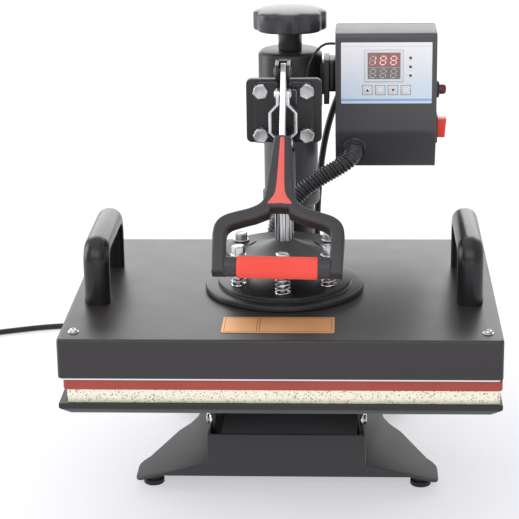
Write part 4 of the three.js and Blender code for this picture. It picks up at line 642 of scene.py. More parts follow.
floor = mesh_object("floor", floor_mesh, floor_material)

world = bpy.data.worlds.new("white_room")
bpy.context.scene.world = world
world.use_nodes = True
world.node_tree.nodes.clear()
room = add_node(world.node_tree, "ShaderNodeBackground", {"Color": srgb("#fbfbfd"), "Strength": 0.66})
add_node(world.node_tree, "ShaderNodeOutputWorld", links={"Surface": room.outputs["Background"]})
bpy.context.scene.view_settings.view_transform = "Standard"


def soft_panel(name, place, target, size, power):
    """A square area light that faces a target."""
    light = bpy.data.lights.new(name, "AREA")
    light.shape = "RECTANGLE"
    light.size, light.size_y = size
    light.energy = power
    lamp = bpy.data.objects.new(name, light)
    lamp.location = place
    lamp.rotation_euler = (Vector(target) - Vector(place)).to_track_quat("-Z", "Y").to_euler()
    lamp.visible_camera = False
    bpy.context.scene.collection.objects.link(lamp)
    return lamp


# Each panel: its name, its place and target in metres, its width and height, and its watts
soft_panel("wall_behind", (0.1, 3.4, 1.5), (0, 0, 0.25), (4.2, 2.6), 60)
soft_panel("panel_above", (-0.5, -0.1, 2.3), (0, 0, 0.1), (2.2, 2.2), 7)
soft_panel("panel_front", (-0.4, -2.3, 2.2), (0, 0, 0.1), (3.4, 1.8), 28)
soft_panel("wall_left", (-2.6, 0.7, 0.9), (0, 0, 0.3), (1.4, 1.8), 28)
soft_panel("panel_low", (0.1, -2.6, 0.4), (0, 0, 0.1), (2.6, 0.5), 4)
soft_panel("panel_sheen", (0, 1.05, 1.1), (0, -0.2, 0.2), (2.4, 1.1), 2.2)
for card_name, card_x in (("card_left", -0.045), ("card_right", 0.045)):
    soft_panel(card_name, (card_x, -0.03, 0.09), (card_x, 0.03, 0.025), (0.05, 0.03), 0.03)

# %% [markdown]
# ## The base and its feet
# The base is one sheet, cut with a waist and folded so that its wings slope down to four rubber
# feet, with a panel folded up at the front. Its plan is already in the frame, so a copy gets only
# the rounded edges that a press brake and the thick coat leave. A foot is a turned shape, cut
# off at the slope of the wing above it.

# %% Base
make_piece("base_sheet", soften(from_solid("base_frame"), 0.7, 2), "base", "coat_grey", coat_base,
           "base_frame")
BASE_FLAT, WING_START, WING_TIP, WING_TIP_Z, BASE_SHEET = 25, 77, 147, 7.9, 2.6
WING_SLOPE = (BASE_FLAT - WING_TIP_Z) / (WING_TIP - WING_START)
FOOT_ACROSS, FOOT_FRONT_Y, FOOT_REAR_Y = 130, -62, 202
FOOT_PROFILE = [(0, 0), (9.2, 0), (10, 0.8), (10, 4.6), (9.5, 5.3), (8, 5.7), (8, 16), (0, 16)]


def make_foot(name, side, y):
    """One foot, cut off just under the sloping wing."""
    bm = moved_by(spun(FOOT_PROFILE, 48), side * FOOT_ACROSS, y)
    under = BASE_FLAT - WING_SLOPE * (FOOT_ACROSS - WING_START) - BASE_SHEET
    normal = Vector((side * WING_SLOPE, 0, 1)).normalized()
    whole = bm.verts[:] + bm.edges[:] + bm.faces[:]
    bmesh.ops.bisect_plane(bm, geom=whole, plane_co=(side * FOOT_ACROSS, y, under), plane_no=normal,
                           clear_outer=True)
    bmesh.ops.holes_fill(bm, edges=[edge for edge in bm.edges if edge.is_boundary], sides=0)
    make_piece(name + "_rubber", bm, "base", "rubber_black", rubber_black, name)


for end_name, foot_y in (("front", FOOT_FRONT_Y), ("rear", FOOT_REAR_Y)):
    for side_name, foot_side in (("left", -1), ("right", 1)):
        make_foot(f"foot_{end_name}_{side_name}", foot_side, foot_y)

# %% [markdown]
# ## Bolts
# The same few fasteners come back all over the press, so each kind is drawn once: a hexagon bolt
# with a chamfered head, a flat washer, and a pan head with a cross in it. A six-sided circle is
# raised and its top edges are bevelled, which gives the chamfer. The cross is drawn as two dark
# bars and not cut, since at this size only its shadow shows.

# %% Fastener helpers
def hexagon_head(radius, height, chamfer=0.8):
    """A hexagon bolt head on the Z axis, with a chamfered top and a shallow dish."""
    bm = bmesh.new()
    bmesh.ops.create_circle(bm, cap_ends=True, segments=6, radius=radius)
    grown = bmesh.ops.extrude_face_region(bm, geom=bm.faces[:])
    top = [part for part in grown["geom"] if isinstance(part, bmesh.types.BMVert)]
    bmesh.ops.translate(bm, verts=top, vec=(0, 0, height))
    bmesh.ops.recalc_face_normals(bm, faces=bm.faces)
    rim = [edge for edge in bm.edges if all(vert.co.z > height / 2 for vert in edge.verts)]
    bevel(bm, rim, chamfer, 3)
    lids = [face for face in bm.faces
            if face.normal.z > 0.99 and face.calc_center_median().z > height / 2]
    bmesh.ops.inset_region(bm, faces=lids, thickness=radius * 0.12, depth=-0.25)
    upright = [edge for edge in bm.edges
               if abs((edge.verts[0].co - edge.verts[1].co).normalized().z) > 0.99]
    return bevel(bm, upright, 0.35, 2)


def washer(radius, thickness):
    """A flat washer on the Z axis."""
    edge = thickness / 3
    return spun([(0, 0), (radius - edge, 0), (radius, edge), (radius, thickness - edge),
                 (radius - edge, thickness), (0, thickness)], 48)


def pan_head(radius, height):
    """A pan-head screw with a cross recess, on the Z axis."""
    head = spun([(0, 0), (radius, 0), (radius, height * 0.45), (radius * 0.86, height * 0.8),
                 (radius * 0.6, height), (radius * 0.34, height), (radius * 0.2, height * 0.55),
                 (0, height * 0.5)], 40)
    arms = []
    for quarter in (0, 90):
        arm = block(-radius * 0.56, radius * 0.56, -radius * 0.1, radius * 0.1, height * 0.6,
                    height * 1.02)
        arms.append(moved_by(soften(arm, 0.08, 1), turn=Matrix.Rotation(math.radians(quarter), 4, "Z")))
    return head, gathered(*arms)


print("fasteners ready")

# %% [markdown]
# ## The bracket and the lower platen
# Inside the base stands a folded bracket that carries the lower platen: a shallow steel tray with
# its lower edges bevelled all round. Both are simple folds, so their solids are copied and
# softened. The bracket's bolts get real heads.

# %% Bracket and tray
make_piece("platen_bracket_fold", soften(from_solid("platen_bracket"), 0.6, 2), "base", "coat_black",
           coat_black, "platen_bracket")
BRACKET_BOLT_Y, BRACKET_BOLT_Z, BRACKET_HALF = -53, 64, 71
for side, name in ((-1, "left"), (1, "right")):
    turn = Matrix.Rotation(math.radians(90 * side), 4, "Y")
    bolt = gathered(washer(7, 3.4), moved_by(hexagon_head(5.6, 3.4, 1.2), z=3.3))
    moved_by(bolt, side * BRACKET_HALF, BRACKET_BOLT_Y, BRACKET_BOLT_Z, turn=turn)
    make_piece(f"bracket_bolt_{name}", bolt, "base", "zinc", zinc)
make_piece("lower_platen_tray", soften(from_solid("lower_platen"), 1.0, 3), "base", "coat_black",
           coat_black, "lower_platen")

# %% [markdown]
# ## Foam pad
# The pad is a slab of reground open foam in a pale cream with crumbs of green, grey and rust in
# it, cut with a wire that leaves its edge uneven. The slab is a grid raised in thin layers, and
# the side of every layer is pushed in and out by noise. A cube with only bump would keep
# ruler-straight edges, which real foam never has.

# %% Foam
# Reground open foam: pale cream with crumbs of other colours, and dead matt. Towards its foot it
# greys, a painted shade where it lies in the tray. The cells are drawn at 2.6 mm, so that they show.
foam_material, foam_tree, foam_shader, foam_place = start_material(
    "foam_reground", {"Roughness": 0.95, "Specular IOR Level": 0.15})
foam_cells = add_node(foam_tree, "ShaderNodeTexNoise", {"Scale": per_metre(2.6), "Detail": 6.0,
                                                        "Roughness": 0.7}, {"Vector": foam_place})
foam_cream = add_node(foam_tree, "ShaderNodeMix",
                      {"data_type": "RGBA", 6: srgb("#f3ebd2"), 7: srgb("#fffaea")},
                      {0: foam_cells.outputs["Fac"]})
foam_height = add_node(foam_tree, "ShaderNodeSeparateXYZ", links={"Vector": foam_place})
# Painted shade: the foot of the foam, down in the tray, is mixed to a grey.
foam_foot_shade = add_node(foam_tree, "ShaderNodeMapRange", {"From Min": 144.5 * MM, "From Max": 149 * MM},
                    {"Value": foam_height.outputs["Z"]})
foam_shaded = add_node(foam_tree, "ShaderNodeMix", {"data_type": "RGBA", 6: srgb("#cfd0b8")},
                       {0: foam_foot_shade.outputs["Result"], 7: foam_cream.outputs[2]})
foam_base = foam_shaded.outputs[2]
for crumb_mm, crumb_colour, share in ((1.1, "#9a9f88", 0.04), (0.8, "#b3aea2", 0.06),
                                      (1.3, "#cdb094", 0.02)):
    crumbs = add_node(foam_tree, "ShaderNodeTexVoronoi", {"Scale": per_metre(crumb_mm)},
                      {"Vector": foam_place})
    chosen = add_node(foam_tree, "ShaderNodeSeparateColor", links={"Color": crumbs.outputs["Color"]})
    is_crumb = add_node(foam_tree, "ShaderNodeMath", {"operation": "LESS_THAN", 1: share},
                        {0: chosen.outputs["Red"]})
    tinted = add_node(foam_tree, "ShaderNodeMix", {"data_type": "RGBA", 7: srgb(crumb_colour)},
                      {0: is_crumb.outputs["Value"], 6: foam_base})
    foam_base = tinted.outputs[2]
foam_tree.links.new(foam_base, foam_shader.inputs["Base Color"])
foam_bump = add_node(foam_tree, "ShaderNodeBump", {"Strength": 0.9, "Distance": 0.6 * MM},
                     {"Height": foam_cells.outputs["Fac"]})
foam_tree.links.new(foam_bump.outputs["Normal"], foam_shader.inputs["Normal"])


def layered_slab(x0, x1, y0, y1, z0, z1, layers, spacing):
    """A slab from a fine grid, raised in thin layers so that its sides have points to push."""
    bm = bmesh.new()
    bmesh.ops.create_grid(bm, x_segments=round((x1 - x0) / spacing),
                          y_segments=round((y1 - y0) / spacing), size=0.5)
    bmesh.ops.scale(bm, vec=(x1 - x0, y1 - y0, 1), verts=bm.verts)
    bmesh.ops.translate(bm, verts=bm.verts, vec=((x0 + x1) / 2, (y0 + y1) / 2, z0))
    top = bm.faces[:]
    for _ in range(layers):
        grown = bmesh.ops.extrude_face_region(bm, geom=top)
        top = [part for part in grown["geom"] if isinstance(part, bmesh.types.BMFace)]
        lifted = [part for part in grown["geom"] if isinstance(part, bmesh.types.BMVert)]
        bmesh.ops.translate(bm, verts=lifted, vec=(0, 0, (z1 - z0) / layers))
    bmesh.ops.recalc_face_normals(bm, faces=bm.faces)
    return bm


FOAM = (-188, 193.5, -212.5, 82.5, 144.3, 156.5)
FOAM_LAYERS, FOAM_SPACING, FOAM_PULL = 6, 4, 0.9
foam = layered_slab(*FOAM, FOAM_LAYERS, FOAM_SPACING)
for vert in foam.verts:
    x, y = vert.co.x, vert.co.y
    at_left, at_right, at_front, at_back = (
        gap < 0.5 for gap in (x - FOAM[0], FOAM[1] - x, y - FOAM[2], FOAM[3] - y))
    if at_left or at_right or at_front or at_back:
        ragged = noise.noise(vert.co * 0.16) * 0.5 + noise.noise(vert.co * 0.6) * 0.35
        vert.co += Vector((at_left - at_right, at_front - at_back, 0)) * (FOAM_PULL + ragged)
foam_pad = make_piece("foam_pad_cut", foam, "base", "foam", foam_material, "foam_pad", crease=60)

# %% [markdown]
# ## Silicone sheet
# On the foam lies a brick-red silicone sheet. It is a smooth slab with a faint mottle and soft
# edges. Along its right end it has taken a small set and lifts a little. The end could be bent
# with a modifier, but one cut and a few raised points do the same.

# %% Silicone
# Cast silicone sheet: a brick red with a faint mottle, and duller than the grip.
silicone_material = moulded("silicone_sheet", "#9c3d30", "#ac4b3f", 0.55, 1.4, 0.03)
SILICONE = (-190.7, 194.6, -212.5, 82.5, 156.5, 165.3)
LIFT_FROM, LIFT_SLOPE, SILICONE_MIDDLE = 193.2, 2.4, 160
silicone = block(*SILICONE)
round_corners(silicone, 4, "Z", 6)
soften(silicone, 0.9, 3)
bmesh.ops.bisect_plane(silicone, geom=silicone.verts[:] + silicone.edges[:] + silicone.faces[:],
                       plane_co=(LIFT_FROM, 0, 0), plane_no=(1, 0, 0))
for vert in silicone.verts:
    if vert.co.x > LIFT_FROM + 0.1 and vert.co.z > SILICONE_MIDDLE:
        vert.co.z += min(vert.co.x - LIFT_FROM, 1) * LIFT_SLOPE
silicone_pad = make_piece("silicone_pad_sheet", silicone, "base", "silicone", silicone_material,
                          "silicone_pad")

# %% [markdown]
# ## Heating plate and its cover
# The heating plate is a cast aluminium slab whose milled edge shows as a bright line under the
# cover. The cover is a folded steel box, open below. It is drawn as a block, its corners and top
# folds are rounded, the underside is taken away, and Solidify gives the sheet its thickness.

# %% Heater
plate = block(-193, 193, -213, 83, 165.6, 178)
round_corners(plate, 3.5, "Z", 6)
make_piece("heating_plate_slab", soften(plate, 0.5, 2), "platen", "plate_aluminium", aluminium,
           "heating_plate")
# Pressed glass wool inside the cover: a pale felt that is not seen while the press is shut.
wool = moulded("glass_wool", "#cfc8b6", "#e3ddcd", 0.95, 0.8, 0.2)
paint_solid("insulation", wool)

COVER = (-195, 195, -215, 85, 168, 204)
SHEET = 1.5
cover = block(*COVER)
round_corners(cover, 5, "Z", 8)
rim = [edge for edge in cover.edges if all(vert.co.z > COVER[5] - 0.1 for vert in edge.verts)
       and edge.calc_face_angle(0) > math.radians(60)]
bevel(cover, rim, 2.6, 6)
lid_below = [face for face in cover.faces if face.normal.z < -0.99]
bmesh.ops.delete(cover, geom=lid_below, context="FACES_ONLY")
bmesh.ops.solidify(cover, geom=cover.faces[:], thickness=SHEET)
make_piece("heater_cover_box", cover, "platen", "coat_black", coat_cover, "heater_cover")

# %% [markdown]
# ## Screws in the cover
# Four pan-head screws hold the folded cover on the heating plate. Each stands on a small washer
# and is turned to a different angle, as screws are when they have been driven home by hand.

# %% Screws in the cover
# The bottom of a cross recess: a dark grey that reads as shade.
screw_dark = moulded("recess_shadow", "#39383b", "#454447", 0.6, 1.0)
for number, (x, y) in enumerate(((-182, -195), (182, -195), (-182, 65), (182, 65)), 1):
    head, cross = pan_head(3.9, 2.4)
    driven_to = Matrix.Rotation(math.radians(25 * number), 4, "Z")
    screw = gathered(washer(5, 0.8), moved_by(head, z=0.7))
    for kind, part, rise, finish in (("", screw, 0, zinc), ("recess_", cross, 0.75, screw_dark)):
        moved_by(part, x, y, COVER_TOP + rise, driven_to)
        make_piece(f"cover_screw_{kind}{number}", part, "platen", "zinc", finish)

# %% [markdown]
# ## The bare plate on the cover
# A thin anodised plate sits at the front of the cover. It is bare but for two engraved borders
# side by side. Each border is the outline of a thin block with its middle taken out, in a dark
# finish of its own, because a cut only a tenth of a millimetre deep would not show.

# %% Copper plate
# Engraved line: a dark brown, as the cut shows when it goes through the dye.
engraved = moulded("engraved_line", "#4a2d1a", "#5c3a22", 0.5, 1.0)
LABEL = (-51.8, 47.8, -196, -155)
label = block(*LABEL, COVER_TOP, COVER_TOP + 0.5)
round_corners(label, 1.5, "Z", 4)
make_piece("label_plate", soften(label, 0.12, 1), "platen", "brass", copper)


def line_frame(x0, x1, y0, y1, width, z0, z1):
    """A thin rectangular line: an outline with its middle taken out."""
    bm = block(x0, x1, y0, y1, z0, z1)
    ends = [face for face in bm.faces if abs(face.normal.z) > 0.99]
    bmesh.ops.inset_individual(bm, faces=ends, thickness=width)
    middles = [face for face in ends if face.is_valid]
    pairs = [edge for face in middles for edge in face.edges]
    bmesh.ops.delete(bm, geom=middles, context="FACES_ONLY")
    bmesh.ops.bridge_loops(bm, edges=pairs)
    return bm


label_lines = gathered(*(line_frame(x0, x1, -193.4, -157.6, 0.7, COVER_TOP + 0.45, COVER_TOP + 0.56)
                         for x0, x1 in ((-49.6, -20.4), (-18.6, 45.6))))
make_piece("label_lines", label_lines, "platen", "brass", engraved)

# %% [markdown]
# ## Side handles
# Two nylon arches stand on the cover for pulling the arm round. Seen from the front they are a
# broad rounded bar with a full elbow. The arch starts as eight corners raised across its width.
# The outer and inner elbows are rounded first, each with its own radius, and then the long edges:
# widely outside and less inside, so that the bar's section is nearly round where it is held.

# %% Side handles
HANDLE_LENGTH, HANDLE_HEIGHT, HANDLE_WIDTH, HANDLE_LEG, HANDLE_BAR = 132, 61, 24, 18, 17
HANDLE_FRONT, HANDLE_ACROSS, FLANK_REACH = -125, 170.6, 9.5


def side_handle(name, across):
    """A moulded arch along Y with rounded elbows, standing on the cover at this X."""
    y0, y1 = HANDLE_FRONT, HANDLE_FRONT + HANDLE_LENGTH
    z0, z1 = COVER_TOP, COVER_TOP + HANDLE_HEIGHT
    inner_top = z1 - HANDLE_BAR
    arch = [(y0, z0), (y0, z1), (y1, z1), (y1, z0), (y1 - HANDLE_LEG, z0), (y1 - HANDLE_LEG, inner_top),
            (y0 + HANDLE_LEG, inner_top), (y0 + HANDLE_LEG, z0)]

    def is_outer(middle):
        return (middle.z > inner_top + 0.5 or middle.y < y0 + HANDLE_LEG - FLANK_REACH
                or middle.y > y1 - HANDLE_LEG + FLANK_REACH)

    bm = raised(arch, across - HANDLE_WIDTH / 2, across + HANDLE_WIDTH / 2, "X")
    round_corners(bm, 23, "X", 10, where=lambda middle: middle.z > z1 - 1)
    round_corners(bm, 9, "X", 7, where=lambda middle: abs(middle.z - inner_top) < 1)
    for outside, width in ((True, 11.2), (False, 5.2)):
        flanks = [edge for edge in bm.edges if edge.is_manifold and edge.calc_face_angle(0) > 1.2
                  and not all(vert.co.z < z0 + 0.1 for vert in edge.verts)
                  and is_outer((edge.verts[0].co + edge.verts[1].co) / 2) == outside]
        bevel(bm, flanks, width, 8)
    make_piece(name + "_arch", bm, "platen", "plastic_black", nylon_glossy, name, crease=50)


side_handle("side_handle_left", -HANDLE_ACROSS)
side_handle("side_handle_right", HANDLE_ACROSS)

# %% [markdown]
# ## The column
# A steel tube stands on a bolted flange. The arm's sleeve, its stop collar and the heavy head turn
# on it. All of these are turned shapes, so each is one profile spun round the same axis, with
# enough steps that its outline stays round in a close view. A cylinder primitive would need a
# boolean for every bore and step. The bush and the screw inside keep their solids.

# %% Column
COLUMN_Y, PRESS_Y = 142, -68
post = spun([(19.7, 25), (45, 25), (46, 26), (46, 30), (45, 31), (26, 31), (23.7, 33), (23.7, 358),
             (6.4, 358), (6.4, 336), (19.7, 336), (19.7, 25)])
make_piece("column_post_tube", moved_by(post, y=COLUMN_Y), "base", "coat_black", coat_black,
           "column_post")
FLANGE_TOP, FLANGE_BOLT_CIRCLE = 31, 36
for number in range(4):
    angle = math.radians(45 + 90 * number)
    bolt = gathered(washer(6.4, 1.2), moved_by(hexagon_head(5.2, 4, 0.5), z=1.1))
    moved_by(bolt, FLANGE_BOLT_CIRCLE * math.cos(angle),
             COLUMN_Y + FLANGE_BOLT_CIRCLE * math.sin(angle), FLANGE_TOP)
    make_piece(f"flange_bolt_{number + 1}", bolt, "base", "zinc", zinc)

sleeve = spun([(24.2, 240), (27.75, 240), (27.75, 329), (24.2, 329), (24.2, 240)])
make_piece("arm_sleeve_tube", moved_by(sleeve, y=COLUMN_Y), "arm", "coat_grey", coat_box, "arm_sleeve")
collar = spun([(24.2, 226.4), (25.4, 226.4), (27.6, 227.4), (29.1, 229.4), (29.75, 232), (29.75, 239.2),
               (28.95, 240), (24.2, 240), (24.2, 226.4)])
make_piece("sleeve_collar_ring", moved_by(collar, y=COLUMN_Y), "arm", "coat_grey", coat_box,
           "sleeve_collar")
head = spun([(6.4, 376), (24.2, 376), (24.2, 329), (31.5, 329), (32.5, 330), (32.5, 383.6), (32, 385),
             (29.4, 387.7), (28.4, 388), (6.4, 388), (6.4, 376)])
make_piece("column_head_cap", moved_by(head, y=COLUMN_Y), "arm", "coat_grey", coat_black, "column_head")
paint_solid("thrust_bush", brass)
paint_solid("pressure_screw", zinc)

# %% [markdown]
# ## Pressure knob
# The knob on top sets the pressure. It is moulded nylon with a domed crown and eight shallow
# lobes. A turned shape has no lobes, so after the spin the points near the rim are drawn in by a
# cosine of their angle, which keeps the wall smooth all the way round.

# %% Knob
KNOB_Z, KNOB_LOBES, LOBE_DEPTH, LOBE_FROM, LOBE_FADE = 388.3, 8, 2.1, 28, 8
knob_profile = [(0, 0), (12, 0), (12, 18.6), (13, 20.4), (15.4, 21), (35.2, 21), (36.6, 21.6),
                (37.2, 23), (37.2, 37.2), (36.9, 38.6), (36, 39.6), (34, 40.5), (30, 41.3),
                (24, 42.2), (16, 42.9), (8, 43.3), (0, 43.4)]
knob = spun(knob_profile, 160)
soften(knob, 0.5, 2, 50)
for vert in knob.verts:
    reach = math.hypot(vert.co.x, vert.co.y)
    if reach > LOBE_FROM:
        share = min((reach - LOBE_FROM) / LOBE_FADE, 1) ** 1.5
        lobe = (1 - math.cos(KNOB_LOBES * math.atan2(vert.co.y, vert.co.x))) / 2
        pull = 1 - share * LOBE_DEPTH * lobe ** 2 / reach
        vert.co.x, vert.co.y = vert.co.x * pull, vert.co.y * pull
make_piece("pressure_knob_grip", moved_by(knob, y=COLUMN_Y, z=KNOB_Z), "knob", "plastic_black",
           plastic_knob, "pressure_knob", crease=45)

# %% [markdown]
# ## Arm, arm plate and the box's bracket
# The arm is a welded beam between the sleeve and a thick plate with rounded corners. The plate
# carries the toggle by four bolts. These plates are softened copies of their solids, and the
# bolts are new pieces with washers, because the eye goes straight to them.

# %% Arm
make_piece("arm_beam_weld", soften(from_solid("arm_beam"), 0.8, 2, 40), "arm", "coat_black", coat_black,
           "arm_beam")
arm_plate = block(-35, 35, -43, -35, 337.4, 397.4)
round_corners(arm_plate, 5, "Y", 6)
make_piece("arm_plate_steel", soften(arm_plate, 0.9, 3), "arm", "coat_black", coat_black, "arm_plate")
make_piece("box_bracket_steel", soften(from_solid("box_bracket"), 0.5, 2, 40), "arm", "coat_grey",
           coat_grey, "box_bracket")
spacer = soften(block(39.9, 46.2, 119, 147, 349, 381), 0.5, 2)
make_piece("box_bracket_spacer", spacer, "arm", "coat_grey", coat_black)
make_piece("limit_switch_case", soften(from_solid("limit_switch"), 0.6, 2), "arm", "plastic_black",
           plastic_black, "limit_switch")

# %% [markdown]
# ## The toggle's base
# A toggle clamp is the heart of the press: pulling the lever down drives a crank and two links
# past their straight line, and the plunger stays locked. Its base is a plate with two ears for
# the fulcrum, a small stop, and a guide tube for the plunger. Each part is drawn from the fulcrum
# as an outline raised to its thickness. Thin rims of grey zinc line the ears and the stop, as a
# painted highlight along their edges. They are a piece of their own, because a painted edge in
# the coat's material would need a mask on every other piece that shares it.

# %% Toggle base
FULCRUM = Vector((0, PRESS_Y, 409.4))
LEVER_ANGLE = math.radians(42.85)


def at_fulcrum(bm):
    """Move a mesh drawn from the fulcrum to its place."""
    return moved_by(bm, *FULCRUM)


toggle_plate = block(-27.5, 27.5, 20, 25, -70, -14)
round_corners(toggle_plate, 5, "Y", 6)
soften(toggle_plate, 0.7, 3)
EAR_RADIUS = 6.8
ear_arc = [(EAR_RADIUS * math.cos(a), EAR_RADIUS * math.sin(a))
           for a in (math.radians(-135 - 135 * i / 14) for i in range(15))]
ear_outline = ear_arc + [(17, 7), (22, 7), (22, -27), (15, -27), (10, -14), (10, -12)]


def both_ears(profile, inside, outside, width, segments):
    """An outline raised on both sides of the lever, with softened edges."""
    return [soften(raised(profile, low, high, "X"), width, segments)
            for low, high in ((-outside, -inside), (inside, outside))]


ear_bridge = soften(block(-6.4, 6.4, 17, 22, -27, 7), 0.5, 2)
stop_web = soften(block(6.4, 11.4, 13, 20.5, -33, -20), 0.4, 2)
guide_tube = spun([(8.9, -107), (10.4, -107), (11, -106.4), (11, -73.8), (10.4, -73), (8.9, -73),
                   (8.9, -107)], 64)
rib_outline = [(9.2, -90), (9.2, -73), (11.2, -57.4), (22, -57.4), (22, -68)]
guide_rib = soften(raised(rib_outline, -3.2, 3.2, "X"), 0.6, 2)
toggle_base = gathered(toggle_plate, *both_ears(ear_outline, 3.6, 6.4, 0.5, 2), ear_bridge, stop_web,
                       guide_tube, guide_rib)
make_piece("toggle_base_plate", at_fulcrum(toggle_base), "arm", "coat_black", coat_black,
           "toggle_base")
# Painted highlight: thin zinc rims along the edges of the ears and the stop.
rim_outline = [(y * 1.05, z * 1.05) for y, z in ear_arc] + [(17, 7.4), (17, -14), (10, -14), (10, -12)]
rim_bridge = soften(block(-6.8, 6.8, 17.1, 18.4, 6.2, 7.4), 0.25, 2)
stop_edges = [soften(block(11.2, 12.4, 12, 20.5, -33, -19), 0.3, 2),
              soften(block(6.4, 12.4, 12, 20.5, -20.1, -19), 0.3, 2)]
ear_highlight_rims = gathered(*both_ears(rim_outline, 5.9, 6.8, 0.2, 1), rim_bridge, *stop_edges)
make_piece("toggle_ear_highlight_rims", at_fulcrum(ear_highlight_rims), "arm", "zinc", zinc_rim_highlight)

# %% [markdown]
# ## Bolts of the toggle
# Four bolts go through the toggle's plate and the arm plate, with a washer at the head and at the
# nut. Each head is turned to its own angle. The eye goes straight to bright heads on a black
# plate, so they are new pieces and not parts of the plate.

# %% Toggle bolts
BOLT_ACROSS, BOLT_HEIGHTS, HEADS_Y, NUTS_Y = 21.2, (387.1, 345.7), -48, -35
bolt_number = 0
for bolt_z in BOLT_HEIGHTS:
    for side in (-1, 1):
        bolt_number += 1
        twist = Matrix.Rotation(math.radians(17 + 23 * bolt_number), 4, "Z")
        bolt = gathered(washer(6.9, 0.9), moved_by(hexagon_head(7.6, 4.5, 1.1), z=0.8, turn=twist))
        moved_by(bolt, side * BOLT_ACROSS, HEADS_Y, bolt_z, turn=TURN_TO_FRONT)
        make_piece(f"toggle_bolt_{bolt_number}", bolt, "arm", "zinc", zinc_dull)
        nut = gathered(washer(7.2, 0.9), moved_by(hexagon_head(6.6, 4, 0.6), z=0.8))
        moved_by(nut, side * BOLT_ACROSS, NUTS_Y, bolt_z, turn=TURN_TO_BACK)
        make_piece(f"toggle_nut_{bolt_number}", nut, "arm", "zinc", zinc)

# %% [markdown]
# ## Lever, links and pins
# The lever bar is laser-cut flat steel, and the links are bent straps on both sides of it, all
# zinc-plated. They are in the frame with their true outline and bends, so softened copies serve.
# The bar is drawn a little slimmer, a touch to one side, and its lower end reaches further into
# the handle. The riveted pins are turned shapes with a domed head at each end.

# %% Lever bar, links and pins
# Zinc plate with a painted shade at its eye: bright along the bar, and dark round its pin, where it lies
# between the ears.
zinc_bar, bar_tree, bar_shader, bar_place = start_material("zinc_bar_painted_shade_eye", {"Metallic": 1.0})
from_eye = add_node(bar_tree, "ShaderNodeVectorMath", {"operation": "DISTANCE", 1: FULCRUM * MM},
                    {0: bar_place})
eye_shade = add_node(bar_tree, "ShaderNodeMapRange", {"From Min": 7.4 * MM, "From Max": 9.4 * MM},
                 {"Value": from_eye.outputs["Value"]})
bar_colour = add_node(bar_tree, "ShaderNodeMix",
                      {"data_type": "RGBA", 6: srgb("#232225"), 7: srgb("#f4f5f6")},
                      {0: eye_shade.outputs["Result"]})
bar_tree.links.new(bar_colour.outputs[2], bar_shader.inputs["Base Color"])
bar_cloud = add_node(bar_tree, "ShaderNodeTexNoise", {"Scale": per_metre(9)}, {"Vector": bar_place})
bar_shine = add_node(bar_tree, "ShaderNodeMapRange", {"To Min": 0.25, "To Max": 0.42},
                     {"Value": bar_cloud.outputs["Fac"]})
bar_tree.links.new(bar_shine.outputs["Result"], bar_shader.inputs["Roughness"])

BAR_NARROWED, BAR_SHIFT, BAR_END, BAR_LONGER = 0.84, 0.9, 63.7, 5.6
lever_bar = from_solid("lever_bar")
down_lever = Vector((0, -math.sin(LEVER_ANGLE), -math.cos(LEVER_ANGLE)))
for vert in lever_bar.verts:
    if abs((vert.co - FULCRUM).dot(down_lever) - BAR_END) < 1:
        vert.co += down_lever * BAR_LONGER
    vert.co.x = vert.co.x * BAR_NARROWED + BAR_SHIFT
make_piece("lever_bar_steel", soften(lever_bar, 0.45, 2, 40), "lever", "zinc", zinc_bar, "lever_bar")
for node in ("link_left", "link_right"):
    make_piece(node + "_strap", soften(from_solid(node), 0.45, 2, 22), "links", "zinc", zinc, node)


def riveted_pin(half, dome):
    """A pin along X with a domed head at each end."""
    end = [(3, half), (4.4, half), (4.4, half + dome * 0.2), (3.6, half + dome * 0.7), (2.2, half + dome),
           (0, half + dome)]
    profile = [(radius, -height) for radius, height in reversed(end)] + end
    return moved_by(spun(profile, 40), turn=TURN_TO_X)


CRANK = 20.4
make_piece("fulcrum_pin_rivet", at_fulcrum(riveted_pin(6.7, 1.6)), "arm", "zinc", coat_black,
           "fulcrum_pin")
make_piece("crank_pin_rivet", at_fulcrum(moved_by(riveted_pin(6.4, 1.6), z=-CRANK)), "links", "zinc",
           zinc, "crank_pin")

# %% [markdown]
# ## The moulded handle
# The handle is the largest moulding: a stem that swells, two shoulders and a fork that holds the
# grip. It is drawn flat, one half of its outline as a smoothed line of points with a notch at the
# crotch. The half is repeated on the other side, raised to its thickness, and rounded broadly all
# along. Last it is turned down by the lever's angle, and a little sideways, because a moulding on
# a flat bar has some slack. A subdivided cage would be softer, but harder to fit to an outline.

# %% Handle
HANDLE_HALF, EDGE_RADIUS = 8, 5.6
LEVER_TURN = Matrix.Rotation(-LEVER_ANGLE, 4, "X")
SLACK_TURN, SLACK_CENTRE = Matrix.Rotation(math.radians(1.2), 4, "Y"), (0, 0, -140)


def on_lever(bm):
    """Turn a mesh drawn along -Z to the lever's rest angle, and move it to the fulcrum."""
    bmesh.ops.rotate(bm, cent=SLACK_CENTRE, matrix=SLACK_TURN, verts=bm.verts)
    return moved_by(bm, *FULCRUM, turn=LEVER_TURN)


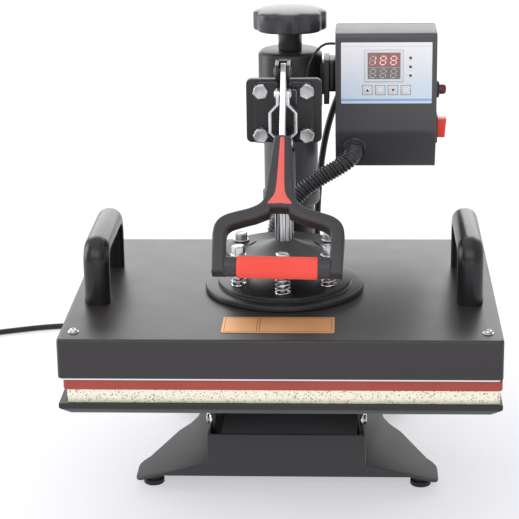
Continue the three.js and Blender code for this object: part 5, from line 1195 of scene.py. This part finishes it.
outer_points = [Vector((x, z, 0)) for x, z in (
    (7.2, -69), (8.6, -80), (10.4, -98), (12.3, -118), (13.3, -128), (14.9, -133), (18.6, -137.2),
    (27, -141.4), (38, -144.8), (47, -148), (53, -152.4), (56.4, -158.6), (57.6, -167))]
inner_points = [Vector((x, z, 0)) for x, z in (
    (45.6, -168.5), (44.7, -162.8), (41.2, -159.2), (34, -156.2), (26, -153.6), (20, -151.8))]
outer_side = smooth_route(outer_points, 2.5) + [Vector((56.4, -203, 0)), Vector((44.8, -203, 0))]
notch = [Vector((9, -146.8, 0)), Vector((7, -141.2, 0)), Vector((0, -141, 0))]
half_outline = [(p.x, p.y) for p in outer_side + smooth_route(inner_points, 2.5) + notch]
outline = half_outline + [(-x, z) for x, z in reversed(half_outline[:-1])]
handle = raised(outline, -HANDLE_HALF, HANDLE_HALF, "Y")
flank = [edge for edge in handle.edges if edge.calc_face_angle(0) > math.radians(70)
         and abs((edge.verts[0].co - edge.verts[1].co).normalized().y) < 0.5]
bevel(handle, flank, EDGE_RADIUS, 6)
make_piece("lever_handle_moulding", on_lever(handle), "lever", "plastic_black", nylon, "lever_handle",
           crease=50)

# %% [markdown]
# ## Inlay
# A strip of red silicone rubber lies in the stem and flares at its foot, where it bends over the
# round edge of the moulding. It is an outline raised to its thickness. A few cuts across its foot
# give it points that can follow the bend.

# %% Inlay
INLAY_BEND, INLAY_PROUD, INLAY_DEEP = -135, 0.8, 1.7
inlay_half = [(1.8, -71.5), (2.3, -85), (2.9, -102), (3.5, -118), (4.3, -126), (6, -130.6),
              (10.4, -136.4), (10.6, -137.8)]
inlay_foot = [(6, -137.8), (0, -137.2), (-6, -137.8)]
inlay_outline = inlay_half + inlay_foot + [(-x, z) for x, z in reversed(inlay_half)]
inlay = raised(inlay_outline, -HANDLE_HALF - INLAY_PROUD, -HANDLE_HALF + INLAY_DEEP, "Y")
soften(inlay, 0.45, 3, 50)
for height in (INLAY_BEND, -135.9, -136.7, -137.4):
    whole = inlay.verts[:] + inlay.edges[:] + inlay.faces[:]
    bmesh.ops.bisect_plane(inlay, geom=whole, plane_co=(0, 0, height), plane_no=(0, 0, 1))
for vert in inlay.verts:
    into_edge = max(INLAY_BEND - vert.co.z, 0)
    vert.co.y += into_edge ** 2 / (2 * EDGE_RADIUS)
make_piece("handle_inlay_rubber", on_lever(inlay), "lever", "rubber_red", rubber_inlay, "handle_inlay")

# %% [markdown]
# ## Grip
# The grip is a sleeve of red silicone rubber on a nylon core. Fine ribs run along it and stop
# short of its ends. They are real relief: a turned sleeve of many steps, every other one drawn in,
# since a bump alone would leave its outline and its mesh smooth.

# %% Grip
GRIP_Z, GRIP_HALF, GRIP_RADIUS, GRIP_RIBS, RIB_DEPTH = -195.6, 35, 9.8, 40, 0.45
grip_end = [(GRIP_RADIUS, GRIP_HALF - 4), (GRIP_RADIUS, GRIP_HALF - 3), (GRIP_RADIUS, GRIP_HALF - 0.8),
            (9.2, GRIP_HALF), (8.3, GRIP_HALF)]
grip_profile = [(radius, -along) for radius, along in reversed(grip_end)] + grip_end
grip = spun([*grip_profile, grip_profile[0]], GRIP_RIBS * 4)
for vert in grip.verts:
    reach = math.hypot(vert.co.x, vert.co.y)
    if reach > GRIP_RADIUS - 0.2 and abs(vert.co.z) < GRIP_HALF - 3.5:
        turn_share = math.atan2(vert.co.y, vert.co.x) / (2 * math.pi) * GRIP_RIBS
        if turn_share - math.floor(turn_share) > 0.55:
            vert.co.x *= 1 - RIB_DEPTH / reach
            vert.co.y *= 1 - RIB_DEPTH / reach
moved_by(grip, z=GRIP_Z, turn=TURN_TO_X)
make_piece("grip_sleeve_rubber", on_lever(grip), "lever", "rubber_red", rubber_red, "grip_sleeve",
           crease=40)
core = spun([(0, -46), (8.8, -46), (8.8, -35.3), (8, -35.3), (8, 35.3), (8.8, 35.3), (8.8, 46),
             (0, 46)], 64)
moved_by(core, z=GRIP_Z, turn=TURN_TO_X)
make_piece("grip_core_rod", on_lever(core), "lever", "plastic_black", nylon, "grip_core")

# %% [markdown]
# ## The sprung plates
# Under the plunger a dished plate presses through six coil springs on a disc that is bolted to
# the cover. The disc is a turned shape with two steps. A boolean that cuts one mesh out of another
# is set up here as well, for the holes and slots that a punch makes in the next plates.

# %% Disc
DISC_RADIUS, DISC_TOP = 74.2, 213.5
disc = spun([(0, COVER_TOP), (73.4, COVER_TOP), (DISC_RADIUS, 204.8), (DISC_RADIUS, 208), (73.7, 209),
             (72.7, 209.5), (62.8, 209.5), (62, 210.2), (62, 212.4), (61.6, 213.2), (60.8, DISC_TOP),
             (0, DISC_TOP)], 144)
make_piece("pressure_disc_steel", moved_by(disc, y=PRESS_Y), "platen", "coat_grey", coat_black,
           "pressure_disc")


def cut_away(bm, cutter):
    """Cut one mesh out of another with an exact boolean, and give back a bmesh."""
    meshes = []
    for part in (bm, cutter):
        mesh = bpy.data.meshes.new("cutting")
        part.to_mesh(mesh)
        part.free()
        meshes.append(mesh)
    body, tool = (bpy.data.objects.new("cutting", mesh) for mesh in meshes)
    for thing in (body, tool):
        bpy.context.scene.collection.objects.link(thing)
    modifier = body.modifiers.new("cut", "BOOLEAN")
    modifier.operation, modifier.solver, modifier.object = "DIFFERENCE", "EXACT", tool
    depsgraph = bpy.context.evaluated_depsgraph_get()
    result = bmesh.new()
    result.from_object(body, depsgraph)
    for thing in (body, tool):
        bpy.data.objects.remove(thing)
    for mesh in meshes:
        bpy.data.meshes.remove(mesh)
    return result


print("the disc is", 2 * DISC_RADIUS, "mm across")

# %% [markdown]
# ## The dished plate
# The dish is pressed from thick sheet: flat at its rim, with a crown that rises to the plunger. It
# is turned, and then six holes for the bolts and two curved-end slots are cut through. Holes
# could be modelled into the mesh by hand, but the boolean keeps the turned surface as it is.

# %% Dish with its slots and holes
BOLT_CIRCLE, SLOT_RADIUS, DISH_UNDER = 48, 33, 238
bolt_spots = [(BOLT_CIRCLE * math.cos(a), BOLT_CIRCLE * math.sin(a))
              for a in (2 * math.pi * (i / 6 + 1 / 12) for i in range(6))]
dish = spun([(0, DISH_UNDER), (54.2, DISH_UNDER), (55, 238.8), (55, 241.2), (54.2, 242), (36, 242),
             (30, 242.8), (22, 245), (16, 247.4), (12, 249.4), (9.6, 250.8), (8.6, 251.2), (0, 251.2)],
            144)
cutters = []
for angle in (24, 156):
    slot = block(SLOT_RADIUS - 1.4, SLOT_RADIUS + 1.4, -7, 7, 230, 250)
    round_corners(slot, 1.35, "Z", 4)
    cutters.append(moved_by(slot, turn=Matrix.Rotation(math.radians(angle), 4, "Z")))
cutters += [moved_by(spun([(0, 230), (3.8, 230), (3.8, 250), (0, 250)], 32), x, y)
            for x, y in bolt_spots]
dish = cut_away(dish, gathered(*cutters))
make_piece("pressure_plate_dish", moved_by(dish, y=PRESS_Y), "ram", "coat_grey", coat_grey,
           "pressure_plate")

# %% [markdown]
# ## Springs and their bolts
# Each spring is a wire wound round its bolt. The wire is a helix of points thickened to a tube,
# with flat end turns. The bolts are fixed in the disc and let the dish slide down on them. A
# spring stands on the disc, and its top is under the dish.

# %% Springs
SPRING_MEAN, SPRING_WIRE, SPRING_TURNS, TURN_STEPS = 6.4, 0.8, 7, 20
SPRING_SEAT = 0.95


def spring_line(x, y):
    """Points of a spring with closed end turns, standing on the disc."""
    bottom, top = DISC_TOP + SPRING_SEAT, DISH_UNDER - SPRING_SEAT
    line = []
    for i in range(SPRING_TURNS * TURN_STEPS + 1):
        share = i / (SPRING_TURNS * TURN_STEPS)
        eased = min(max((share - 0.1) / 0.8, 0), 1)
        angle = 2 * math.pi * i / TURN_STEPS
        line.append(Vector((x + SPRING_MEAN * math.cos(angle),
                            PRESS_Y + y + SPRING_MEAN * math.sin(angle),
                            bottom + (top - bottom) * eased)))
    return line


for number, (x, y) in enumerate(bolt_spots, 1):
    name = f"spring_{number}"
    coil = tube_piece(name + "_wire", spring_line(x, y), SPRING_WIRE, steel_spring, 2)
    bend_between(coil, "platen", "ram", Vector((x, PRESS_Y + y, DISC_TOP + 0.5)),
                 Vector((x, PRESS_Y + y, DISH_UNDER - 1)), "zinc", name)
    shank = spun([(0, 213.2), (3, 213.2), (3, 243.7), (0, 243.7)], 24)
    twist = Matrix.Rotation(math.radians(41 * number), 4, "Z")
    # The rear bolts take the duller zinc, a painted shade on the bolts behind the plunger.
    head_height, finish = (8.6, zinc) if y < 0 else (6.2, zinc_dull)
    head = moved_by(hexagon_head(6.5, head_height, 1.3), z=243.5, turn=twist)
    bolt = gathered(shank, moved_by(washer(7.6, 1.3), z=242.3), head)
    make_piece(f"spring_bolt_{number}", moved_by(bolt, x, PRESS_Y + y), "platen", "zinc", finish)

# %% [markdown]
# ## Plunger
# The plunger is a turned steel rod that slides in the guide tube and ends in a flat tongue
# between the links. Its foot stands in the crown of the dish.

# %% Plunger
plunger_rod = spun([(0, 247), (8.1, 247), (8.5, 247.4), (8.5, 331), (7.5, 332), (0, 332)], 72)
tongue = soften(block(-4, 4, -5.5, 5.5, 330, 347.7), 0.6, 2)
# The plunger's zinc carries painted reflections: streaks up and down its rod.
make_piece("plunger_rod", moved_by(gathered(plunger_rod, tongue), y=PRESS_Y), "ram", "zinc", zinc_reflection_streaked,
           "plunger")

# %% [markdown]
# ## The control box
# The box is a folded sheet with a sloping lower face, closed by a flat cover at its back. Its
# side profile is raised across its width, and each fold then gets the radius that a press brake
# leaves: wide along the top, tight at the slope. Four small screws hold the cover.

# %% Case
CASE_LEFT, CASE_RIGHT, CASE_FRONT, CASE_BACK = 46.3, 147, 90, 145
CASE_TOP, CASE_BOTTOM, BACK_SHEET = 413.6, 273.8, 2
SLOPE_TOP, SLOPE_RUN, SLOPE_DROP = 313.6, 18, 37
slope_foot = CASE_FRONT + SLOPE_RUN * (SLOPE_TOP - CASE_BOTTOM) / SLOPE_DROP
case = raised([(CASE_FRONT, CASE_TOP), (CASE_BACK, CASE_TOP), (CASE_BACK, CASE_BOTTOM),
               (slope_foot, CASE_BOTTOM), (CASE_FRONT, SLOPE_TOP)], CASE_LEFT, CASE_RIGHT, "X")
for fold_y, fold_z, fold in ((CASE_FRONT, CASE_TOP, 4.6), (CASE_FRONT, SLOPE_TOP, 3),
                             (slope_foot, CASE_BOTTOM, 2.4)):
    round_corners(case, fold, "X", 6,
                  where=lambda middle: abs(middle.y - fold_y) + abs(middle.z - fold_z) < 1)
make_piece("control_case_fold", soften(case, 1.0, 3, 45), "arm", "coat_grey", coat_box, "control_case")
back_plate = block(CASE_LEFT, CASE_RIGHT, CASE_BACK + 0.05, CASE_BACK + BACK_SHEET, CASE_BOTTOM,
                   CASE_TOP)
round_corners(back_plate, 2.5, "Y", 5)
make_piece("control_back_plate", soften(back_plate, 0.5, 2), "arm", "coat_grey", coat_box,
           "control_back")
for number, (x, z) in enumerate(((52, 281), (141, 281), (52, 406), (141, 406)), 1):
    head, cross = pan_head(3, 1.8)
    for kind, part, finish in (("head", head, zinc), ("recess", cross, screw_dark)):
        moved_by(part, x, CASE_BACK + BACK_SHEET, z, turn=TURN_TO_BACK)
        make_piece(f"case_screw_{kind}_{number}", part, "arm", "zinc", finish)

# %% [markdown]
# ## The printed panel
# The front has a printed film: white at the top, sliding to a light blue, with a thin grey rule
# and a darker blue stripe near its foot. The colours are worked out from the height on the piece
# itself, as printing ink would be laid, so they stay put from any side.

# %% Panel film
PANEL = (52, 142, 343.5, 405)
FILM_FACE = 89.6
# Polycarbonate film, printed from behind: a satin skin, with the ink clear under it.
film, film_tree, film_shader, film_place = start_material(
    "polycarbonate_film", {"Roughness": 0.28, "IOR": 1.58})
film_height = add_node(film_tree, "ShaderNodeSeparateXYZ", links={"Vector": film_place})
film_share = add_node(film_tree, "ShaderNodeMapRange",
                      {"From Min": PANEL[2] * MM, "From Max": PANEL[3] * MM},
                      {"Value": film_height.outputs["Z"]})
film_ramp = add_node(film_tree, "ShaderNodeValToRGB", links={"Fac": film_share.outputs["Result"]})
FILM_INK = ((0.0, "#dcedfd"), (0.035, "#dcedfd"), (0.04, "#9bbdec"), (0.075, "#9bbdec"),
            (0.08, "#dcedfd"), (0.3, "#e2eefc"), (0.55, "#eff4fc"), (0.93, "#fdfdff"),
            (0.935, "#e2dfe4"), (0.95, "#ffffff"))
ink = film_ramp.color_ramp
ink.elements[0].position, ink.elements[0].color = FILM_INK[0][0], srgb(FILM_INK[0][1])
ink.elements[1].position, ink.elements[1].color = 1.0, srgb(FILM_INK[-1][1])
for spot, code in FILM_INK[1:]:
    element = ink.elements.new(spot)
    element.color = srgb(code)
film_tree.links.new(film_ramp.outputs["Color"], film_shader.inputs["Base Color"])
film_grain = add_node(film_tree, "ShaderNodeTexNoise", {"Scale": per_metre(0.9)},
                      {"Vector": film_place})
film_bump = add_node(film_tree, "ShaderNodeBump", {"Strength": 0.2, "Distance": 0.004 * MM},
                     {"Height": film_grain.outputs["Fac"]})
film_tree.links.new(film_bump.outputs["Normal"], film_shader.inputs["Normal"])

KEY_CENTRES = [97.2 + (i - 1.5) * 12.7 for i in range(4)]
KEY_HEIGHT, KEY_HALF, KEY_HOLE_HALF = 357, 4.6, 5
panel_film = block(PANEL[0], PANEL[1], FILM_FACE, CASE_FRONT, PANEL[2], PANEL[3])
round_corners(panel_film, 1, "Y", 4)
key_holes = [block(x - KEY_HOLE_HALF, x + KEY_HOLE_HALF, 88, 92, KEY_HEIGHT - KEY_HOLE_HALF,
                   KEY_HEIGHT + KEY_HOLE_HALF) for x in KEY_CENTRES]
panel_film = cut_away(panel_film, gathered(*key_holes))
make_piece("panel_film", panel_film, "arm", "key_white", film)

# %% [markdown]
# ## Display
# The display is a white frame round a smoked window with two rows of seven-segment digits. Lit
# segments glow red, and the row below is nearly dark. A digit is seven small bars on a slant, so
# one function draws any number from the list of the bars that it lights. A text object would
# need a font, and a font of such bars is rarely at hand.

# %% Display
# White ABS: a clean frame and key caps that stand out from the film by their sheen alone.
white_plastic = moulded("abs_white", "#eeeef0", "#f8f8f9", 0.35, 0.9, 0.004)
# Grey print: thin flat outlines.
grey_line = moulded("printed_grey", "#a19aa2", "#b3acb4", 0.4, 0.9, 0.002)
# Smoked acrylic: a glossy grey window, and a warm one where lit digits shine into it.
window_smoke = moulded("acrylic_smoked", "#7b7876", "#868381", 0.12, 2, 0.001)
window_red = moulded("acrylic_smoked_lit", "#987271", "#a47c7b", 0.12, 2, 0.001)
# Lit segments glow a pale red, and unlit ones are a milky grey.
digit_lit = moulded("digit_red_lit", "#ff9a96", "#ffa6a1", 0.4, 1,
                    **{"Emission Color": srgb("#ffbab4"), "Emission Strength": 0.8})
digit_dim = moulded("digit_unlit", "#c6bfbc", "#d0c9c5", 0.4, 1)

frame_line = line_frame(75.2, 113.7, 365.2, 397.7, 0.5, 0, 0.15)
window_frame = soften(line_frame(75.8, 113.1, 365.8, 397.1, 2.8, 0, 0.7), 0.2, 2)
for name, part, finish in (("display_outline", frame_line, grey_line),
                           ("display_bezel", window_frame, white_plastic)):
    make_piece(name, moved_by(part, y=FILM_FACE, turn=TURN_TO_FRONT), "arm", "key_white", finish)
for name, front, low, high, finish in (("upper", 89.2, 380.2, 394.6, window_red),
                                       ("lower", 89.2, 368.3, 379.5, window_smoke),
                                       ("rule", 89.1, 379.4, 380.3, grey_line)):
    pane = soften(block(78.4, 110.6, front, FILM_FACE + 0.1, low, high), 0.1, 1)
    make_piece(f"display_window_{name}", pane, "arm", "key_white", finish)

SEGMENTS = {"a": (0, 1, "flat"), "g": (0, 0, "flat"), "d": (0, -1, "flat"), "f": (-1, 0.5, "tall"),
            "b": (1, 0.5, "tall"), "e": (-1, -0.5, "tall"), "c": (1, -0.5, "tall")}
NUMERALS = {"1": "bc", "8": "abcdefg"}


def numeral(bars, x, z, half_width=2.6, half_height=4.2):
    """The chosen bars of one slanted digit, standing just proud of the window."""
    parts = []
    for bar in bars:
        column, row, kind = SEGMENTS[bar]
        wide, tall = (half_width - 0.75, 0.5) if kind == "flat" else (0.5, half_height / 2 - 0.75)
        u, v = column * half_width, row * half_height
        parts.append(soften(block(u - wide, u + wide, 89.05, 89.25, v - tall, v + tall), 0.08, 1))
    bm = gathered(*parts)
    for vert in bm.verts:
        vert.co.x += vert.co.z * 0.12
    return moved_by(bm, x, 0, z)


DIGIT_PLACES, ROW_HIGH, ROW_LOW = (83.4, 93.6, 104), 387, 374
lit = [numeral(NUMERALS[digit], x, ROW_HIGH) for digit, x in zip("188", DIGIT_PLACES)]
make_piece("display_digits_lit", gathered(*lit), "arm", "rocker_red", digit_lit)
dim = [numeral(NUMERALS["8"], x, ROW_LOW) for x in DIGIT_PLACES]
dim.append(numeral("aefgd", DIGIT_PLACES[0], ROW_HIGH))
make_piece("display_digits_dim", gathered(*dim), "arm", "key_white", digit_dim)

# %% [markdown]
# ## Panel lamps
# Beside the display three small lamps sit in white rings. A ring and a bulb are both turned
# shapes of a millimetre or two, laid flat on the film.

# %% Panel lamps
# Tinted epoxy, not lit: a dark violet bead with one small light on it.
lamp_dark = moulded("epoxy_lamp_dark", "#3b3438", "#4a4247", 0.2, 1)
LAMP_ROW_X, LAMP_ROW_HEIGHTS = 120.7, (389.5, 380.5, 371.7)
for number, z in enumerate(LAMP_ROW_HEIGHTS, 1):
    ring = spun([(1.3, 0), (2.6, 0), (2.6, 0.15), (2.4, 0.3), (1.5, 0.3), (1.3, 0.15), (1.3, 0)], 40)
    bulb = spun([(0, 0), (1.35, 0), (1.35, 0.2), (1, 0.6), (0.5, 0.8), (0, 0.85)], 32)
    for part in (ring, bulb):
        moved_by(part, LAMP_ROW_X, FILM_FACE, z, turn=TURN_TO_FRONT)
    make_piece(f"panel_lamp_ring_{number}", ring, "arm", "key_white", white_plastic)
    make_piece(f"panel_lamp_{number}", bulb, "arm", "plastic_black", lamp_dark)

# %% [markdown]
# ## Keys
# The four keys below the display are square caps with a fine outline and a round field, and an
# arrow on two of them. Each key rides on its own body, so it can be pressed. Its lines are thin
# pieces on the cap, which move with it.

# %% Keys
# Black print: an even dark grey.
ink_dark = moulded("printed_black", "#2a2629", "#383337", 0.4, 1)
KEY_FACE, EDGE_LINE_HALF, ARROW_HALF = 89.1, 4.2, 1.7
for number, x in enumerate(KEY_CENTRES, 1):
    cap = block(x - KEY_HALF, x + KEY_HALF, KEY_FACE, 89.95, KEY_HEIGHT - KEY_HALF,
                KEY_HEIGHT + KEY_HALF)
    round_corners(cap, 0.9, "Y", 4)
    make_piece(f"key_{number}_cap", soften(cap, 0.2, 2), f"key_{number}", "key_white", white_plastic,
               f"key_{number}")
    ring = spun([(3.1, 0), (3.35, 0), (3.35, 0.06), (3.1, 0.06), (3.1, 0)], 40)
    moved_by(ring, x, KEY_FACE, KEY_HEIGHT, turn=TURN_TO_FRONT)
    edge_line = line_frame(x - EDGE_LINE_HALF, x + EDGE_LINE_HALF, KEY_HEIGHT - EDGE_LINE_HALF,
                           KEY_HEIGHT + EDGE_LINE_HALF, 0.22, 0, 0.06)
    moved_by(edge_line, y=KEY_FACE, turn=TURN_TO_FRONT)
    make_piece(f"key_{number}_outline", gathered(ring, edge_line), f"key_{number}", "key_white", grey_line)
    if number in (1, 3):
        tip = ARROW_HALF if number == 1 else -ARROW_HALF
        arrow = raised([(x - ARROW_HALF, KEY_HEIGHT - tip * 0.8), (x + ARROW_HALF, KEY_HEIGHT - tip * 0.8),
                        (x, KEY_HEIGHT + tip)], KEY_FACE - 0.1, KEY_FACE + 0.05, "Y")
        make_piece(f"key_{number}_arrow", arrow, f"key_{number}", "key_white", ink_dark)

# %% [markdown]
# ## Switch and pilot lamp
# The right side has a red rocker in a black bezel and, above it, a red lamp with a round flange.
# The rocker is a block whose lower half stands back, as it does when it is switched off. The
# lamp's lens and flange are turned.

# %% Rocker and lamp
bezel = block(146.8, 149, 110, 130, 297.5, 326.5)
round_corners(bezel, 2, "X", 5)
opening = block(140, 156, 113.1, 126.9, 300.5, 323.5)
make_piece("rocker_bezel", soften(cut_away(bezel, opening), 0.4, 2, 40), "arm", "plastic_black",
           plastic_black)
ROCKER_MIDDLE, ROCKER_STEP = 312, 1.6
rocker = block(147.1, 158.2, 113.9, 126.1, 302.4, 321.6)
for vert in rocker.verts:
    if vert.co.x > CASE_RIGHT + 3 and vert.co.z < ROCKER_MIDDLE:
        vert.co.x -= ROCKER_STEP
make_piece("rocker_key", soften(rocker, 0.8, 3), "rocker", "rocker_red", rocker_red, "power_rocker")
LAMP_Y, LAMP_Z = 118, 351.5
flange = spun([(0, 0), (8.6, 0), (8.6, 2.2), (7.6, 3.5), (5, 3.5), (0, 3.5)], 64)
lens = spun([(0, 1.7), (5, 1.7), (5, 7.8), (4.6, 9.2), (3.4, 10.2), (1.6, 10.6), (0, 10.6)], 64)
for part in (flange, lens):
    moved_by(part, CASE_RIGHT, LAMP_Y, LAMP_Z, turn=TURN_TO_X)
# Red acrylic, not lit: a deep glossy red that is almost black away from the light.
lamp_red = moulded("acrylic_lamp_red", "#5a1216", "#74191c", 0.12, 3, 0.001)
make_piece("pilot_lamp_lens", lens, "arm", "lamp_red", lamp_red, "pilot_lamp")
make_piece("pilot_lamp_flange", flange, "arm", "plastic_black", plastic_black)

# %% [markdown]
# ## Conduit
# The heater's wires leave the box in a corrugated hose that starts in a smooth cuff and curves
# down to the cover. A hose is a tube whose radius goes up and down along its line, so the points
# are set close and every rib takes about five of them. The real one bends between the arm and
# the plunger's plate when the lever lifts the heater.

# %% Conduit
slope_normal = Vector((0, -SLOPE_DROP, -SLOPE_RUN)).normalized()
cuff_centre = Vector((65.6, 0, COVER_TOP + 94.6))
cuff_centre.y = CASE_FRONT + SLOPE_RUN * (SLOPE_TOP - cuff_centre.z) / SLOPE_DROP
conduit_points = [cuff_centre + slope_normal * 0.3, cuff_centre + slope_normal * 5.4] + routed([
    (61.8, 289, 88.4), (57.4, 285.4, 84.6), (51, 283.2, 80.6), (43.5, 281.8, 76.4), (34.5, 280.6, 71.4),
    (25, 279, 65.6), (15, 277, 58.4), (5.5, 274, 49.4), (-3.6, 270.5, 39), (-10, 267, 28),
    (-13, 265, 17.5), (-13.5, 264.5, 9), (-13.5, 264.5, 0.3)])
conduit_line = smooth_route(conduit_points, 0.6)
RIB_PITCH, CREST, ROOT, PLAIN_END, PLAIN_RADIUS = 3.3, 8.8, 7.2, 9, 8.4
travelled, conduit_radii = 0.0, []
for i, point in enumerate(conduit_line):
    if i:
        travelled += (point - conduit_line[i - 1]).length
    wave = 0.5 + 0.5 * math.cos(2 * math.pi * travelled / RIB_PITCH)
    ribbed = ROOT + (CREST - ROOT) * wave ** 0.6
    conduit_radii.append(PLAIN_RADIUS if travelled < PLAIN_END else ribbed)
conduit = tube_piece("heater_conduit_hose", conduit_line, CREST, conduit_plastic, 10, conduit_radii, 80)
bend_between(conduit, "arm", "ram", conduit_points[3], conduit_points[-2], "plastic_black",
             "heater_conduit")

cuff = spun([(8.9, 0.3), (11.4, 0.3), (11.4, 2), (10.9, 2.6), (10.2, 3), (9.9, 9.4), (8.9, 9.4),
             (8.9, 0.3)], 64)
cuff_turn = Vector((0, 0, 1)).rotation_difference(slope_normal).to_matrix().to_4x4()
moved_by(cuff, *cuff_centre, turn=cuff_turn)
make_piece("conduit_cuff_ring", cuff, "arm", "plastic_black", conduit_plastic, "conduit_cuff")

# %% [markdown]
# ## Switch lead
# A thin lead runs from the box's side to the limit switch behind the arm plate. It is a cord like
# the mains cord, so its route repeats the points of its solid.

# %% Switch lead
LEAD_RADIUS = 1.25
lead_points = routed([
    (46, 322, 196.6), (41, 322, 196.7), (36.1, 321, 196.2), (32.3, 320.5, 194.3), (29.1, 320, 191.2),
    (26.2, 320, 187.6), (23.7, 319.5, 183.4), (21.2, 318, 178.6), (19.4, 315, 173.6), (18.6, 308, 168.4),
    (18.6, 298, 163.4), (18.8, 284, 158.6), (19.2, 266, 155.4), (19.8, 246, 154.6), (20.4, 226, 156.2),
    (20.8, 208, 160.2), (21, 196, 164.2), (21, 186.4, 165.6)])
lead_line = smooth_route(lead_points, 3)
lead = tube_piece("switch_lead_wire", lead_line, LEAD_RADIUS, cord_jacket)
settle(lead, "arm", "cord_black", "switch_lead")
print("conduit:", round(length_of(conduit_line)), "mm, switch lead:", round(length_of(lead_line)), "mm")
